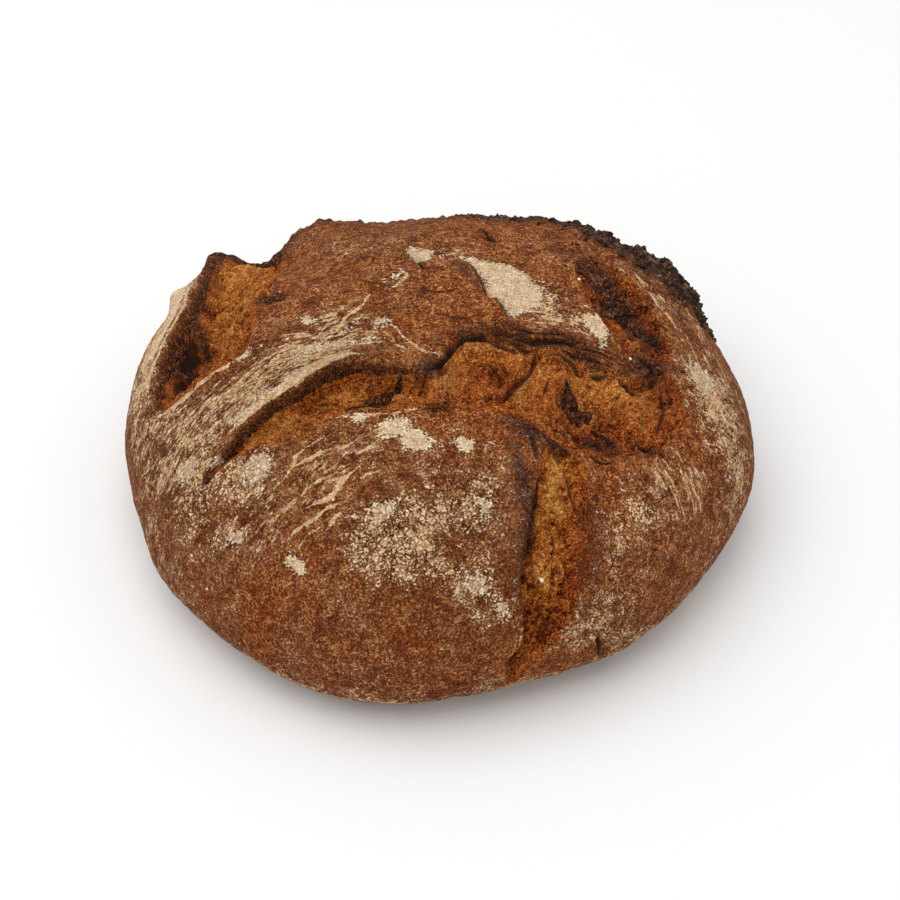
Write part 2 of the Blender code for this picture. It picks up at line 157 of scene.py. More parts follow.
def turned_profile(samples=800):
    """Walk, radius and height of the meridian: radius R sin^p and height H cos^p down to the widest ring, an
    ellipse from there in to the base, and a straight line to the middle of the base."""
    turn = np.linspace(0.0, np.pi / 2, samples)
    power = 2.0 / PROFILE_POWER
    radius = np.concatenate([
        LOAF_RADIUS * np.sin(turn) ** power,
        BASE_RADIUS + (LOAF_RADIUS - BASE_RADIUS) * np.cos(turn[1:]),
        [0.0],
    ])
    height = np.concatenate([
        WIDEST_HEIGHT + (LOAF_HEIGHT - WIDEST_HEIGHT) * np.cos(turn) ** power,
        WIDEST_HEIGHT * (1.0 - np.sin(turn[1:])),
        [0.0],
    ])
    walk = np.concatenate([[0.0], np.cumsum(np.hypot(np.diff(radius), np.diff(height)))])
    return walk, radius, height


WALK, RADIUS, HEIGHT = turned_profile()
BASE_WALK = WALK[-2]


def base_form(spot):
    """Spots of the crust map to points in space: the profile's radius and height at the walk, with the radius
    scaled by one plus a sum of cosines of the heading."""
    walk = np.hypot(spot[:, 0], spot[:, 1])
    heading = np.arctan2(spot[:, 1], spot[:, 0])
    outline = np.ones(len(spot))
    for waves, swell, turn in OUTLINE_WAVES:
        outline += swell / LOAF_RADIUS * np.cos(waves * heading - np.radians(turn))
    radius = np.interp(walk, WALK, RADIUS) * outline
    height = np.interp(walk, WALK, HEIGHT)
    return np.stack([radius * np.cos(heading), radius * np.sin(heading), height], axis=1)


def base_normal(spot, step=0.5):
    """Unit normals of the base form: the cross product of short walks to the right and to the back."""
    to_right = base_form(spot + (step, 0.0)) - base_form(spot - (step, 0.0))
    to_back = base_form(spot + (0.0, step)) - base_form(spot - (0.0, step))
    normal = np.cross(to_right, to_back)
    return normal / np.maximum(np.linalg.norm(normal, axis=1, keepdims=True), 1e-9)


def corner_value(corner, seed):
    """A fixed value from -1 to 1 for each corner of a lattice, by mixing the bits of its whole numbers."""
    mixed = corner[:, 0] * 73856093 ^ corner[:, 1] * 19349663 ^ corner[:, 2] * 83492791 ^ seed * 2654435
    mixed = (mixed ^ (mixed >> 13)) * 1274126177 & 0x7FFFFFFF
    return (mixed ^ (mixed >> 16)) % 20001 / 10000.0 - 1.0


def lumps(points, size, seed):
    """Smooth noise from -1 to 1, its lumps about size across: corner values of a lattice, blended between."""
    place = points / size + seed * 7.31
    corner = np.floor(place).astype(np.int64)
    share = place - corner
    share = share * share * (3.0 - 2.0 * share)
    total = np.zeros(len(points))
    for step in np.ndindex(2, 2, 2):
        weight = np.prod(np.where(step, share, 1.0 - share), axis=1)
        total += weight * corner_value(corner + step, seed)
    return total


def ground(points, sizes, seed):
    """Uneven ground: the sum of the lumps of each size, times how far they stand up."""
    return sum(uneven * lumps(points, size, seed + turn) for turn, (size, uneven) in enumerate(sizes))


def bubbles(points, size, seed):
    """Distance, in sizes, to the nearest of the points strewn one in each cell of a lattice."""
    place = points / size
    cell = np.floor(place).astype(np.int64)
    nearest = np.full(len(points), 9.0)
    for step in np.ndindex(3, 3, 3):
        there = cell + step - 1
        strewn = np.stack([corner_value(there, seed + k) for k in range(3)], axis=1) * 0.5 + 0.5
        nearest = np.minimum(nearest, np.linalg.norm(there + strewn - place, axis=1))
    return nearest


def mound(spot, a, b, along, across, turn):
    """A bell curve, exp(-r^2/2), with r the distance in reaches along and across its own direction."""
    turn = np.radians(turn)
    right, back = spot[:, 0] - a, spot[:, 1] - b
    lengthwise = (right * np.cos(turn) + back * np.sin(turn)) / along
    crosswise = (back * np.cos(turn) - right * np.sin(turn)) / across
    return np.exp(-0.5 * (lengthwise**2 + crosswise**2))


def curve_through(knots, closed=False, steps=6):
    """Close rows on a smooth curve (Catmull-Rom) through the knots; further columns are carried along."""
    knots = np.array(knots, float)
    if closed:
        ends = np.concatenate([knots[-1:], knots, knots[:2]])
    else:
        ends = np.concatenate([[2 * knots[0] - knots[1]], knots, [2 * knots[-1] - knots[-2]]])
    t = np.arange(steps)[:, None] / steps
    spans = [
        0.5 * (
            2 * p1 + (p2 - p0) * t + (2 * p0 - 5 * p1 + 4 * p2 - p3) * t**2
            + (3 * (p1 - p2) + p3 - p0) * t**3
        )
        for p0, p1, p2, p3 in zip(ends, ends[1:], ends[2:], ends[3:])
    ]
    return np.concatenate([*spans, ends[-2:-1]])


def nearest_on(spot, curve):
    """For each spot and each short run of the curve: the gap between them, and the row at the gap's foot."""
    start, run = curve[:-1], np.diff(curve, axis=0)
    offset = spot[:, None] - start[:, :2]
    share = np.clip((offset * run[:, :2]).sum(axis=2) / (run[:, :2] ** 2).sum(axis=1), 0.0, 1.0)
    foot = start + share[..., None] * run
    return np.linalg.norm(spot[:, None] - foot[..., :2], axis=2), foot


def near_curve(spot, curve, reach):
    """Places in the list of the spots that lie in the curve's own box, grown by reach."""
    low, high = curve[:, :2].min(axis=0) - reach, curve[:, :2].max(axis=0) + reach
    return np.flatnonzero(np.all((spot > low) & (spot < high), axis=1))


def beside(spot, curve, reach):
    """The distance of each spot from a curve, positive on its left, and the share of the way along it."""
    distance = np.full(len(spot), reach)
    along = np.zeros(len(spot))
    near = near_curve(spot, curve, reach)
    share = np.linspace(0.0, 1.0, len(curve))
    gap, foot = nearest_on(spot[near], np.column_stack([curve, share]))
    nearest = gap.argmin(axis=1)
    row = np.arange(len(near))
    way, off = np.diff(curve, axis=0)[nearest], spot[near] - curve[nearest]
    left = way[:, 0] * off[:, 1] - way[:, 1] * off[:, 0] > 0
    distance[near] = np.where(left, 1.0, -1.0) * gap[row, nearest]
    along[near] = foot[row, nearest, 2]
    return distance, along


def within(spot, outline, reach):
    """How far each spot is inside a closed outline (outside it is negative), the same in widths of the wall,
    and the curl of the edge there. Inside is where a line to the right crosses an odd number of runs, and the
    wall that counts is the one whose foot is the fewest widths away."""
    distance = np.full(len(spot), -reach)
    widths = np.zeros(len(spot))
    curl = np.zeros(len(spot))
    near = near_curve(spot, outline, reach)
    gap, foot = nearest_on(spot[near], outline)
    across, up = spot[near, :1], spot[near, 1:]
    (a0, b0), (a1, b1) = outline[:-1, :2].T, outline[1:, :2].T
    spans = (b0 > up) != (b1 > up)
    meets = a0 + (up - b0) * (a1 - a0) / np.where(b1 == b0, 1e-9, b1 - b0)
    inside = (spans & (across < meets)).sum(axis=1) % 2 == 1
    nearest = gap.argmin(axis=1)
    distance[near] = np.where(inside, 1.0, -1.0) * gap.min(axis=1)
    if outline.shape[1] > 2:
        widths[near] = np.where(inside, (gap / np.maximum(foot[..., 2], 1.0)).min(axis=1), 0.0)
        curl[near] = foot[np.arange(len(near)), nearest, 3]
    return distance, widths, curl


def end_fade(along, share=0.2):
    """1 along the middle of a curve, running out to 0 at its two ends."""
    return smooth_step(along, 0.0, share) * smooth_step(1.0 - along, 0.0, share)


def lie_of_the_land(spot):
    """The loaf at each spot, before crust and crumb are told apart: the level of the skin over the base form,
    the depth of the tears, how far the spot is inside a tear, in millimetres and in widths of its wall, which
    tear that is, and the curl of its edge. A curled edge's wall drops as 1 - (1 - t)^3 of its width."""
    points = base_form(spot)
    depth, curl, walls = np.zeros((3, len(spot)))
    torn = np.full(len(spot), -TEAR_REACH)
    tear = np.zeros(len(spot), int)
    for number, (floor, knots) in enumerate(TEARS):
        distance, widths, edge = within(spot, curve_through(knots, closed=True), TEAR_REACH)
        keen = np.clip(edge / 2.0, 0.0, 1.0)
        drop = 1.0 - (1.0 - np.clip(widths, 0.0, 1.0)) ** 3
        depth = np.maximum(depth, floor * (smooth_step(widths, 0.0, 1.0) * (1.0 - keen) + drop * keen))
        curl = np.maximum(curl, edge * np.exp(-((distance / CURL_REACH) ** 2)))
        walls = np.where(distance > torn, widths, walls)
        tear = np.where(distance > torn, number, tear)
        torn = np.maximum(torn, distance)
    level = curl * (1.0 - smooth_step(torn, 0.0, 3.0))
    for a, b, along, across, turn, swell in SWELLS:
        level += swell * mound(spot, a, b, along, across, turn)
    for outline in LOBES:
        distance, _, _ = within(spot, curve_through(outline, closed=True), 4.0)
        level += LOBE_HEIGHT * smooth_step(distance, -0.4, LOBE_WALL)
        level += LOBE_RIM * np.exp(-((distance - LOBE_WALL) ** 2))
    for step, width, knots in STEPS:
        distance, share = beside(spot, curve_through(knots), 3.0 * width)
        rise = smooth_step(distance, 0.0, STEP_RISE) * np.exp(-((distance / width) ** 2))
        level += step * rise * end_fade(share)
    cracked = np.zeros(len(spot))
    for half_width, floor, knots in CRACKS:
        distance, share = beside(spot, curve_through(knots), 4.0 * half_width)
        cracked = np.maximum(cracked, floor * np.exp(-((distance / half_width) ** 2)) * end_fade(share))
    level -= cracked
    level += ground(points, CRUST_GROUND, 0)
    for a, b, along, across, turn, crag in CRAGS:
        level += crag * mound(spot, a, b, along, across, turn) * np.abs(lumps(points, CRAG_GROUND, 20))
    return {
        "points": points, "level": level, "depth": depth, "torn": torn, "walls": walls, "tear": tear,
        "curl": curl,
    }


def stand_off(spot, height):
    """Points at a height over the base form, along its normals. The height fades out on the way to the base,
    and nothing goes below the table."""
    fade = smooth_step(BASE_WALK - np.hypot(spot[:, 0], spot[:, 1]), 0.0, FADE_TO_BASE)
    points = base_form(spot) + base_normal(spot) * (height * fade)[:, None]
    points[:, 2] = np.maximum(points[:, 2], 0.0)
    return points


# --------------------------------------------------------------------------------------------------
# The crust: the whole skin of the loaf, baked brown and floured, as the crown, the shoulder and the foot,
# which meet in shared rings. In the tears it drops below the crumb, and its curled edges lean over them.

CROWN_CELLS = 312
CROWN_REACH = 95.0
SHOULDER_REACH, SHOULDER_ROWS = 150.0, 76
FOOT_REACH, FOOT_ROWS = 199.0, 34
CRUST_THICKNESS = 4.0
MAP_WIDTH = 400.0         # the crust map's side, on the UV map
OVERHANG = 0.4            # how far a curled edge leans over its tear, for each millimetre of curl
CRUST_WRINKLES = ((6.0, 0.22), (2.6, 0.16), (1.4, 0.10))

FLOUR_OUTLINES = (  # thick flour, as outlines
    ((10, 50), (18, 46), (26, 41), (33, 35), (38, 28), (39, 21), (35, 13), (30, 9), (26, 8), (25, 11),
     (23, 16), (19, 18), (18, 28), (15, 40)),
    ((-13, 58), (-12, 51), (-8, 45), (-3, 49), (-1, 56), (-7, 58)),
    ((55, 11), (60, 13), (64, 9), (64, 3), (62, -5), (60, 1), (57, 5)),
)
FLOUR_DABS = (  # thick flour, as ovals: a, b, half length, half width, turn
    (-15, -49, 6, 4, 20), (-7, -55, 5, 4, -30), (-27, -43, 3.2, 2.2, 10), (10, -58, 3.4, 2.8, 0),
    (-50, -97, 3.5, 2.5, -35), (-71, -6, 4.5, 2.2, 12), (-20, 3, 3.5, 2.0, 20), (-95, -52, 6, 4, 60),
    (-17, -82, 4.5, 3.5, 30), (18, -83, 4, 2.5, 80), (26, -119, 4, 2.4, -30), (-46, 6, 3.0, 2.2, -60),
    (-64, -60, 6, 5, 60), (-79, -55, 5, 3.5, 30), (16, -110, 5, 2.4, -30), (102, -4, 5, 7, 20),
    (-72, -84, 4, 2.2, 10), (-16, 32, 3.0, 1.6, 60), (-103, 44, 14, 4.8, 80), (-109, 22, 12, 4.4, 67),
    (-42, -9, 9, 1.2, 8), (-57, -27, 9, 1.3, 33), (-71, -37, 8, 1.0, 30), (-32, 0, 5, 1.0, 45),
)
FLOUR_LINES = (  # flour on stretched ridges of the dough: half width, knots
    (0.7, ((-60, -70), (-55, -69), (-52, -65), (-50, -62), (-49, -58), (-44, -54), (-38, -51), (-33, -52))),
    (0.9, ((-50, -62), (-46, -61), (-42, -59), (-38, -57), (-32, -56))),
    (0.6, ((-53, -78), (-48, -75), (-45, -72), (-42, -70), (-38, -68), (-35, -67), (-31, -66), (-28, -63))),
    (0.9, ((-62, -82), (-57, -81), (-53, -78), (-48, -75))),
    (1.1, ((-45, -79), (-41, -77), (-37, -76), (-33, -72), (-30, -68), (-26, -65))),
    (0.7, ((-53, -92), (-50, -87), (-44, -84), (-38, -80), (-32, -78), (-27, -74))),
    (0.8, ((-38, -88), (-35, -84), (-33, -82))),
    (0.4, ((-42, -61), (-42, -66), (-44, -69), (-46, -73))),
    (0.5, ((-40, -62), (-39, -60), (-36, -58))),
    (0.5, ((-28, -72), (-23, -68), (-18, -68))),
    (0.5, ((-48, -92), (-44, -88), (-40, -86))),
    (1.2, ((-111, -21), (-105, -22), (-97, -19), (-91, -15), (-85, -11), (-78, -10), (-75, -6), (-68, -5))),
    (1.1, ((-109, -31), (-100, -33), (-92, -29), (-85, -25), (-78, -24), (-73, -20), (-69, -17), (-62, -14))),
    (2.3, ((-75, -44), (-66, -36), (-58, -30), (-51, -25), (-43, -19), (-34, -15), (-26, -15))),
    (0.9, ((-66, -13), (-57, -9), (-49, -8), (-39, -9), (-30, -10))),
    (0.6, ((-59, -2), (-50, -1), (-41, -6), (-33, -8))),
    (1.0, ((-40, -6), (-36, -1), (-32, 6), (-27, 11), (-24, 18))),
    (0.7, ((-52, -9), (-44, -4), (-39, 3), (-34, 11))),
    (0.6, ((-48, -13), (-38, -8), (-29, -3), (-22, -1))),
    (0.6, ((-38, -13), (-28, -9), (-20, -8))),
    (0.5, ((-44, -9), (-37, -5), (-30, 1), (-25, 5))),
    (0.6, ((-19, 5), (-15, 0), (-12, -5), (-7, -10), (-2, -14), (4, -12), (8, -9))),
    (0.5, ((-21, 0), (-17, -5), (-14, -10), (-8, -12))),
    (0.7, ((-15, 38), (-12, 34), (-14, 28), (-17, 22))),
    (0.5, ((-1, 56), (4, 54), (10, 50))),
    (0.6, ((61, 48), (69, 46), (74, 43), (79, 36), (84, 30), (90, 23), (97, 17), (102, 11))),
    (0.5, ((72, 50), (79, 43), (86, 36), (93, 28))),
    (0.5, ((88, 44), (94, 41), (101, 36), (107, 29))),
    (0.5, ((68, -101), (70, -94), (70, -88), (71, -81), (73, -75))),
    (0.4, ((71, -80), (76, -76), (80, -75))),
    (0.5, ((10, -94), (14, -89), (18, -87))),
    (0.6, ((86, -58), (90, -62), (95, -69))),
    (0.6, ((89, -51), (95, -54), (101, -55))),
    (0.9, ((-96, 58), (-97, 45), (-98, 31), (-103, 20), (-108, 9), (-113, -3), (-113, -14))),
    (0.4, ((-37, -43), (-24, -43), (-10, -42), (-2, -40))),
    (0.5, ((-12, -105), (-5, -108))),
)
FLOUR_DUST = (  # strength, a, b, reach along and across, turn
    (0.88, -82, -32, 20, 7, 33), (0.95, -54, -16, 18, 8, 24), (0.62, -98, -26, 12, 8, 25),
    (0.75, -37, 0, 11, 8, 40), (0.95, -93, -56, 9, 12, 10), (0.95, -70, -64, 8, 11, 30),
    (0.75, -73, -83, 10, 5, 0), (0.50, -106, -42, 9, 12, 0), (0.92, -18, -90, 10, 10, 0),
    (0.65, -8, -99, 8, 8, 0), (0.40, -40, -72, 16, 7, 35), (0.40, -28, -56, 16, 6, 20),
    (0.66, 18, -112, 14, 7, -30), (0.60, 17, -84, 6, 8, 0), (0.40, 6, -70, 12, 12, 60),
    (0.45, 0, -90, 8, 9, 0), (0.62, 102, -10, 8, 14, 10), (0.42, 112, -18, 8, 14, 10),
    (0.50, 90, 32, 16, 8, -45), (0.50, 76, -118, 16, 9, -15), (0.38, 98, -58, 8, 12, 20),
    (0.50, 70, -92, 2.5, 9, 0), (0.58, 78, -76, 7, 4, 15), (0.45, 90, -58, 8, 7, 0),
    (0.80, 40, 22, 6, 8, 60), (0.50, 42, 10, 8, 5, 0), (0.70, 54, 8, 7, 6, 0), (0.20, -25, 66, 12, 8, 20),
    (0.45, 120, -30, 12, 34, 10), (0.98, -116, 40, 10, 26, 12), (0.70, -124, 8, 9, 16, 10),
    (0.40, -122, -20, 10, 20, 0), (0.35, 56, -124, 8, 8, 0), (0.55, 3, 55, 9, 4, -10),
    (0.40, 80, -66, 6, 5, 0), (0.25, -120, -70, 16, 30, 30), (0.95, -102, 54, 8, 10, 0),
    (0.50, 62, 132, 24, 10, -25), (0.60, -36, 134, 22, 9, 12), (0.50, -104, 106, 12, 18, 40),
    (0.50, 138, 52, 12, 22, 20),
)
DUST_ALL_OVER = 0.08
FLOURED_FOOT = (146.0, 164.0)  # from where to where on the walk down the dust grows
CRACKLE = ((1.0, -95, -58, 14, 24, 20), (1.0, -68, -68, 14, 20, 20), (1.0, -16, -91, 16, 16, 0),
           (0.7, 18, -112, 18, 12, -30), (1.0, -96, -34, 26, 12, 30), (0.6, 17, -84, 9, 9, 0),
           (0.7, -55, -14, 26, 10, 20), (0.5, 104, -8, 10, 16, 0))
# Burnt crust, and painted shade in dark bands along the edges of tears, cracks and steps.
CHARRED_AND_SHADED = (  # strength, a, b, reach along and across, turn
    (0.9, 60, 90, 16, 8, -20), (1.0, 76, 74, 13, 9, -40), (1.0, 89, 62, 12, 10, -45),
    (1.0, 102, 55, 8, 7, -55), (0.7, 38, 92, 16, 6, -5), (0.5, 18, 102, 12, 4, 0), (0.9, 94, 76, 22, 9, -42),
    (0.8, 63, 36, 10, 3.5, -62), (0.75, 70, 17, 10, 3.5, -65), (0.8, 80, 9, 4, 3, 0),
    (0.35, 56, 50, 8, 4, -30), (0.5, -86, -61, 5, 3, 35), (0.8, 79, -9, 6, 4, 0), (0.8, 33, -77, 17, 3, -79),
    (0.55, 31, -103, 12, 3, -85), (0.4, 61, -90, 26, 4, 88), (0.8, 35, -50, 7, 3.5, -25),
    (0.9, 44, -55, 5, 2.6, -30), (0.75, 62, -50, 7, 4, -25), (0.7, 0, -21, 6, 4, 0),
    (0.45, 42, -1, 14, 2.5, -5), (0.45, 60, -9, 10, 3, -25), (0.5, 12, -3, 9, 2.5, 10),
    (0.6, 12, 33, 11, 2.2, -74), (0.5, -9, 50, 8, 2, -60), (0.45, -40, -18, 24, 2.5, 15),
    (0.9, -59, 25, 5, 3, 0), (0.8, -93, 77, 5, 7, 30), (0.6, -64, 90, 18, 5, 20), (0.3, -34, 104, 16, 3, 8),
    (0.4, 20, 72, 8, 3, -60), (0.35, 77, -50, 5, 4, 0),
)
BURNS = (  # crisp burnt patches in the folds of the middle tear and the left furrow: half width, knots
    (2.3, ((49, -21), (50, -27), (51, -33), (54, -41))),
    (1.5, ((52, -34), (56, -37), (57, -40))),
    (1.9, ((59, -43), (64, -46), (69, -50))),
    (1.8, ((38, -49), (44, -53), (49, -57))),
    (0.9, ((33, -50), (36, -56), (37, -63))),
    (1.0, ((75, -48), (79, -50), (82, -49))),
    (3.2, ((-32, -39), (-27, -34), (-21, -28), (-13, -22))),
)
WARM = ((0.7, 80, -26, 24, 26, 0), (0.4, 62, 30, 20, 22, 0), (0.5, 30, 66, 30, 20, 0),
        (0.5, 10, 10, 24, 22, 0), (0.4, 12, -48, 18, 10, 0), (0.4, 66, -70, 10, 20, 0),
        (0.6, -55, 40, 14, 20, 0), (0.4, -60, -105, 10, 30, -40), (0.4, 46, -140, 14, 20, 0))
FIBROUS = ((1.0, 5, 45, 80, 45, 0), (0.9, 75, -10, 45, 60, 0), (0.8, -45, -55, 40, 28, 30),
           (0.5, 70, -90, 30, 30, 0))
CRAGGY = ((0.9, 62, 88, 16, 7, -25), (1.0, 80, 72, 14, 9, -40), (1.0, 94, 62, 13, 9, -50),
          (0.6, 38, 94, 16, 5, -5), (0.8, 66, 34, 14, 7, -62), (0.6, 80, 2, 6, 12, 0),
          (0.8, -90, 82, 7, 6, 30), (0.8, -68, 92, 18, 4, 20), (0.6, -34, 104, 20, 5, 8),
          (0.5, 8, 108, 24, 4, 0))
CRAG_LUMPS = ((4.2, 3.0), (2.0, 1.5))  # size, height
# Rifts are grooved and painted dark: the dark is painted shade in the splits.
RIFTS = (  # thin dark splits: half width, knots
    (0.9, ((-6, -26), (-2, -22), (3, -14), (9, -6), (14, -4), (18, -4), (22, -6), (30, -7), (37, -7))),
    (0.7, ((32, -10), (37, -11), (44, -10), (51, -13), (54, -17), (60, -19), (66, -17), (69, -21),
           (74, -26))),
    (0.9, ((21, -3), (32, -3), (43, -2), (49, -3), (54, -2))),
    (0.6, ((22, -1), (34, 0), (44, 1), (52, 0))),
    (0.7, ((22, -4), (30, -5), (36, -6), (43, -7), (50, -9))),
    (0.7, ((46, -7), (53, -9), (58, -11), (65, -14))),
    (0.5, ((51, -3), (58, -6), (66, -10), (72, -13))),
    (0.5, ((58, -3), (65, -6), (73, -10))),
    (1.1, ((68, -19), (72, -21), (77, -22))),
    (0.6, ((-13, 59), (-12, 51), (-9, 45), (-5, 39), (-1, 37))),
    (0.8, ((10, 48), (14, 37), (17, 26), (19, 16), (23, 16), (26, 8), (29, 4))),
    (0.7, ((19, 79), (22, 70), (25, 62))),
    (1.2, ((77, 12), (80, 10), (84, 6))),
    (1.1, ((74, -6), (79, -9), (82, -12))),
    (0.5, ((57, -58), (61, -60), (65, -59))),
    (0.7, ((76, -49), (79, -50))),
    (0.6, ((83, -48), (86, -50))),
    (0.6, ((71, -124), (76, -130), (82, -137))),
    (1.3, ((-4, -41), (1, -40), (6, -41))),
    (1.9, ((-65, 24), (-60, 26), (-54, 25))),
    (2.2, ((-104, 8), (-101, 15), (-98, 22))),
    (1.2, ((-108, -8), (-107, -1), (-105, 4))),
    (0.5, ((-30, 30), (-22, 26), (-14, 25))),
    (0.5, ((-70, -58), (-62, -47), (-56, -44))),
    (0.5, ((-6, 24), (4, 21), (12, 23))),
    (0.5, ((0, 8), (8, 5), (16, 6))),
)
RIFT_DEPTH = 1.6
RIFT_WALL = (-0.6, 0.6)
BURN_EDGE = (-0.8, 0.4)
# Layered: where the dough tore into thin layers; their dark streaks are painted shade between them.
LAYERED = ((0.9, 38, -2, 16, 4, -3), (0.9, 60, -8, 14, 5, -25), (0.7, 78, -14, 8, 8, -30),
           (0.6, 12, -4, 8, 3, 10))


def oval(spot, a, b, long, wide, turn):
    """Rough distance in from an oval's rim: one minus the radius in half axes, times the smaller of them."""
    turn = np.radians(turn)
    right, back = spot[:, 0] - a, spot[:, 1] - b
    lengthwise = (right * np.cos(turn) + back * np.sin(turn)) / long
    crosswise = (back * np.cos(turn) - right * np.sin(turn)) / wide
    return (1.0 - np.hypot(lengthwise, crosswise)) * min(long, wide)


def thick_flour(spot):
    """Distance in from the rim of the nearest thick flour, in millimetres, negative where there is none."""
    inside = np.full(len(spot), -6.0)
    for outline in FLOUR_OUTLINES:
        inside = np.maximum(inside, within(spot, curve_through(outline, closed=True), 8.0)[0])
    for dab in FLOUR_DABS:
        inside = np.maximum(inside, oval(spot, *dab))
    return np.maximum(inside, -6.0)


def lines_at(spot, lines):
    """Distance in from the side of the nearest line, its half width tapered to its ends, in millimetres."""
    inside = np.full(len(spot), -6.0)
    for half_width, knots in lines:
        distance, share = beside(spot, curve_through(knots), 8.0)
        inside = np.maximum(inside, half_width * (0.3 + 0.7 * end_fade(share, 0.35)) - np.abs(distance))
    return np.maximum(inside, -6.0)


def sum_of_mounds(spot, mounds):
    """One minus the product of what each mound leaves: mounds that overlap add up, but never past one."""
    left = np.ones(len(spot))
    for strength, *place in mounds:
        left *= 1.0 - strength * mound(spot, *place)
    return 1.0 - left


def char_and_shade_at(spot, mounds):
    """Char and painted shade at each spot: the stronger of the mounds there and the crisp burnt patches."""
    return np.maximum(sum_of_mounds(spot, mounds), smooth_step(lines_at(spot, BURNS), *BURN_EDGE))


STREAMS = (  # lines that the stretched dough flowed along, and how far to each side the streaks follow them
    (24.0, ((-125, -60), (-108, -46), (-94, -33), (-78, -22), (-62, -13), (-44, -7), (-26, -1), (-10, 4))),
    (20.0, ((-78, -104), (-62, -88), (-48, -74), (-36, -62), (-20, -52), (-2, -46))),
    (18.0, ((58, 66), (72, 54), (86, 38), (98, 20), (108, -8))),
    (16.0, ((72, -34), (86, -48), (98, -64), (106, -82))),
    (14.0, ((22, -2), (40, 1), (58, -6), (76, -14), (92, -26))),
)


def stream_of(spot, streams):
    """For each spot the way along and off the nearest stream, in millimetres, and how much it follows it."""
    along, off, follow = np.zeros((3, len(spot)))
    for number, (width, knots) in enumerate(streams):
        curve = curve_through(knots)
        length = np.linalg.norm(np.diff(curve, axis=0), axis=1).sum()
        distance, share = beside(spot, curve, 2.0 * width)
        here = np.exp(-((distance / width) ** 2))
        here *= smooth_step(1.5 * width - np.abs(distance), 0.0, 0.5 * width)
        here *= end_fade(share, 0.12)
        nearer = here > follow
        along = np.where(nearer, share * length + 500.0 * number, along)
        off = np.where(nearer, distance, off)
        follow = np.maximum(follow, here)
    return along, off, follow


def over_the_edge(spot, land):
    """The spots of the crust near a curled edge, moved over the tear: by a bell curve round the edge, up the
    slope of the distance into the tear."""
    reach = OVERHANG * land["curl"] * np.exp(-(((land["torn"] + 0.8) / 2.0) ** 2))
    reach *= 1.0 - smooth_step(land["torn"], 0.4, 1.8)
    near = np.flatnonzero(reach > 0.02)
    slope = np.stack([
        lie_of_the_land(spot[near] + step)["torn"] - land["torn"][near] for step in ((0.5, 0.0), (0.0, 0.5))
    ], axis=1)
    slope /= np.maximum(np.linalg.norm(slope, axis=1, keepdims=True), 1e-6)
    moved = spot.copy()
    moved[near] += slope * reach[near, None]
    return moved


def crust_at(spot):
    """The points of the crust at each spot, and what its finish needs to know there."""
    land = lie_of_the_land(spot)
    rift = lines_at(spot, RIFTS)
    surface = land["level"] - land["depth"] - CRUST_THICKNESS * smooth_step(land["torn"], 0.2, 1.6)
    surface += ground(land["points"], CRUST_WRINKLES, 40) - RIFT_DEPTH * smooth_step(rift, *RIFT_WALL)
    char_and_shade = char_and_shade_at(spot, CHARRED_AND_SHADED)
    (large, large_height), (small, small_height) = CRAG_LUMPS
    large_crags, small_crags = lumps(land["points"], large, 50), lumps(land["points"], small, 51)
    crags = large_height * np.abs(large_crags) + small_height * np.abs(small_crags)
    surface += sum_of_mounds(spot, CRAGGY) * crags + 0.5 * char_and_shade * small_crags
    along, off, follow = stream_of(spot, STREAMS)
    dust = sum_of_mounds(spot, FLOUR_DUST)
    foot = 0.5 * smooth_step(np.hypot(spot[:, 0], spot[:, 1]), *FLOURED_FOOT)
    # Below a curled edge the crust's torn side is painted dark: partly its burnt edge, partly painted shade
    # under the lip.
    sharp = np.clip(land["curl"] / 1.5, 0.0, 1.0)
    torn_beside = smooth_step(land["torn"], -8.0, -0.5) * (1.0 - sharp)
    return stand_off(over_the_edge(spot, land), surface), {
        "flour": thick_flour(spot), "flour_line": lines_at(spot, FLOUR_LINES), "rift": rift,
        "dust": 1.0 - (1.0 - dust) * (1.0 - foot) * (1.0 - DUST_ALL_OVER),
        "crackle": sum_of_mounds(spot, CRACKLE), "char_and_shade": char_and_shade,
        "brink": land["torn"] - 8.0 * (1.0 - sharp),
        "warm": np.maximum(sum_of_mounds(spot, WARM), 0.5 * torn_beside),
        "fibrous": sum_of_mounds(spot, FIBROUS), "layered": sum_of_mounds(spot, LAYERED),
        "stream_along": along, "stream_off": off, "stream_follow": follow,
    }


def paint(red, green, blue):
    """A colour picked as sRGB from 0 to 255, as linear light."""
    share = np.array([red, green, blue]) / 255.0
    linear = np.where(share <= 0.04045, share / 12.92, ((share + 0.055) / 1.055) ** 2.4)
    return (*linear.tolist(), 1.0)


def node(tree, kind, feeds, out=0, **settings):
    """A shader node of a kind, its sockets fed by values or by other nodes; gives one of its outputs."""
    made = tree.nodes.new("ShaderNode" + kind)
    for name, setting in settings.items():
        setattr(made, name, setting)
    for socket, feed in feeds.items():
        if isinstance(feed, bpy.types.NodeSocket):
            tree.links.new(feed, made.inputs[socket])
        else:
            made.inputs[socket].default_value = feed
    return made.outputs[out]


def maths(tree, what, *values):
    return node(tree, "Math", dict(enumerate(values)), operation=what)


def product(tree, first, second):
    return maths(tree, "MULTIPLY", first, second)


def mixture(tree, *shares):
    """The sum of values, each times its share."""
    total = product(tree, *shares[0])
    for value, share in shares[1:]:
        total = maths(tree, "MULTIPLY_ADD", value, share, total)
    return total


def field(tree, name):
    return node(tree, "Attribute", {}, 2, attribute_name=name)


def ease(tree, value, start, end, low=0.0, high=1.0):
    """From low at start to high at end, as 3t^2 - 2t^3."""
    feeds = {"Value": value, "From Min": start, "From Max": end, "To Min": low, "To Max": high}
    return node(tree, "MapRange", feeds, interpolation_type="SMOOTHSTEP")


def frayed(tree, name, start, end, *noises):
    """A field with noises added at their shares, eased from 0 at start to 1 at end: a worn rim."""
    return ease(tree, mixture(tree, (field(tree, name), 1.0), *noises), start, end)


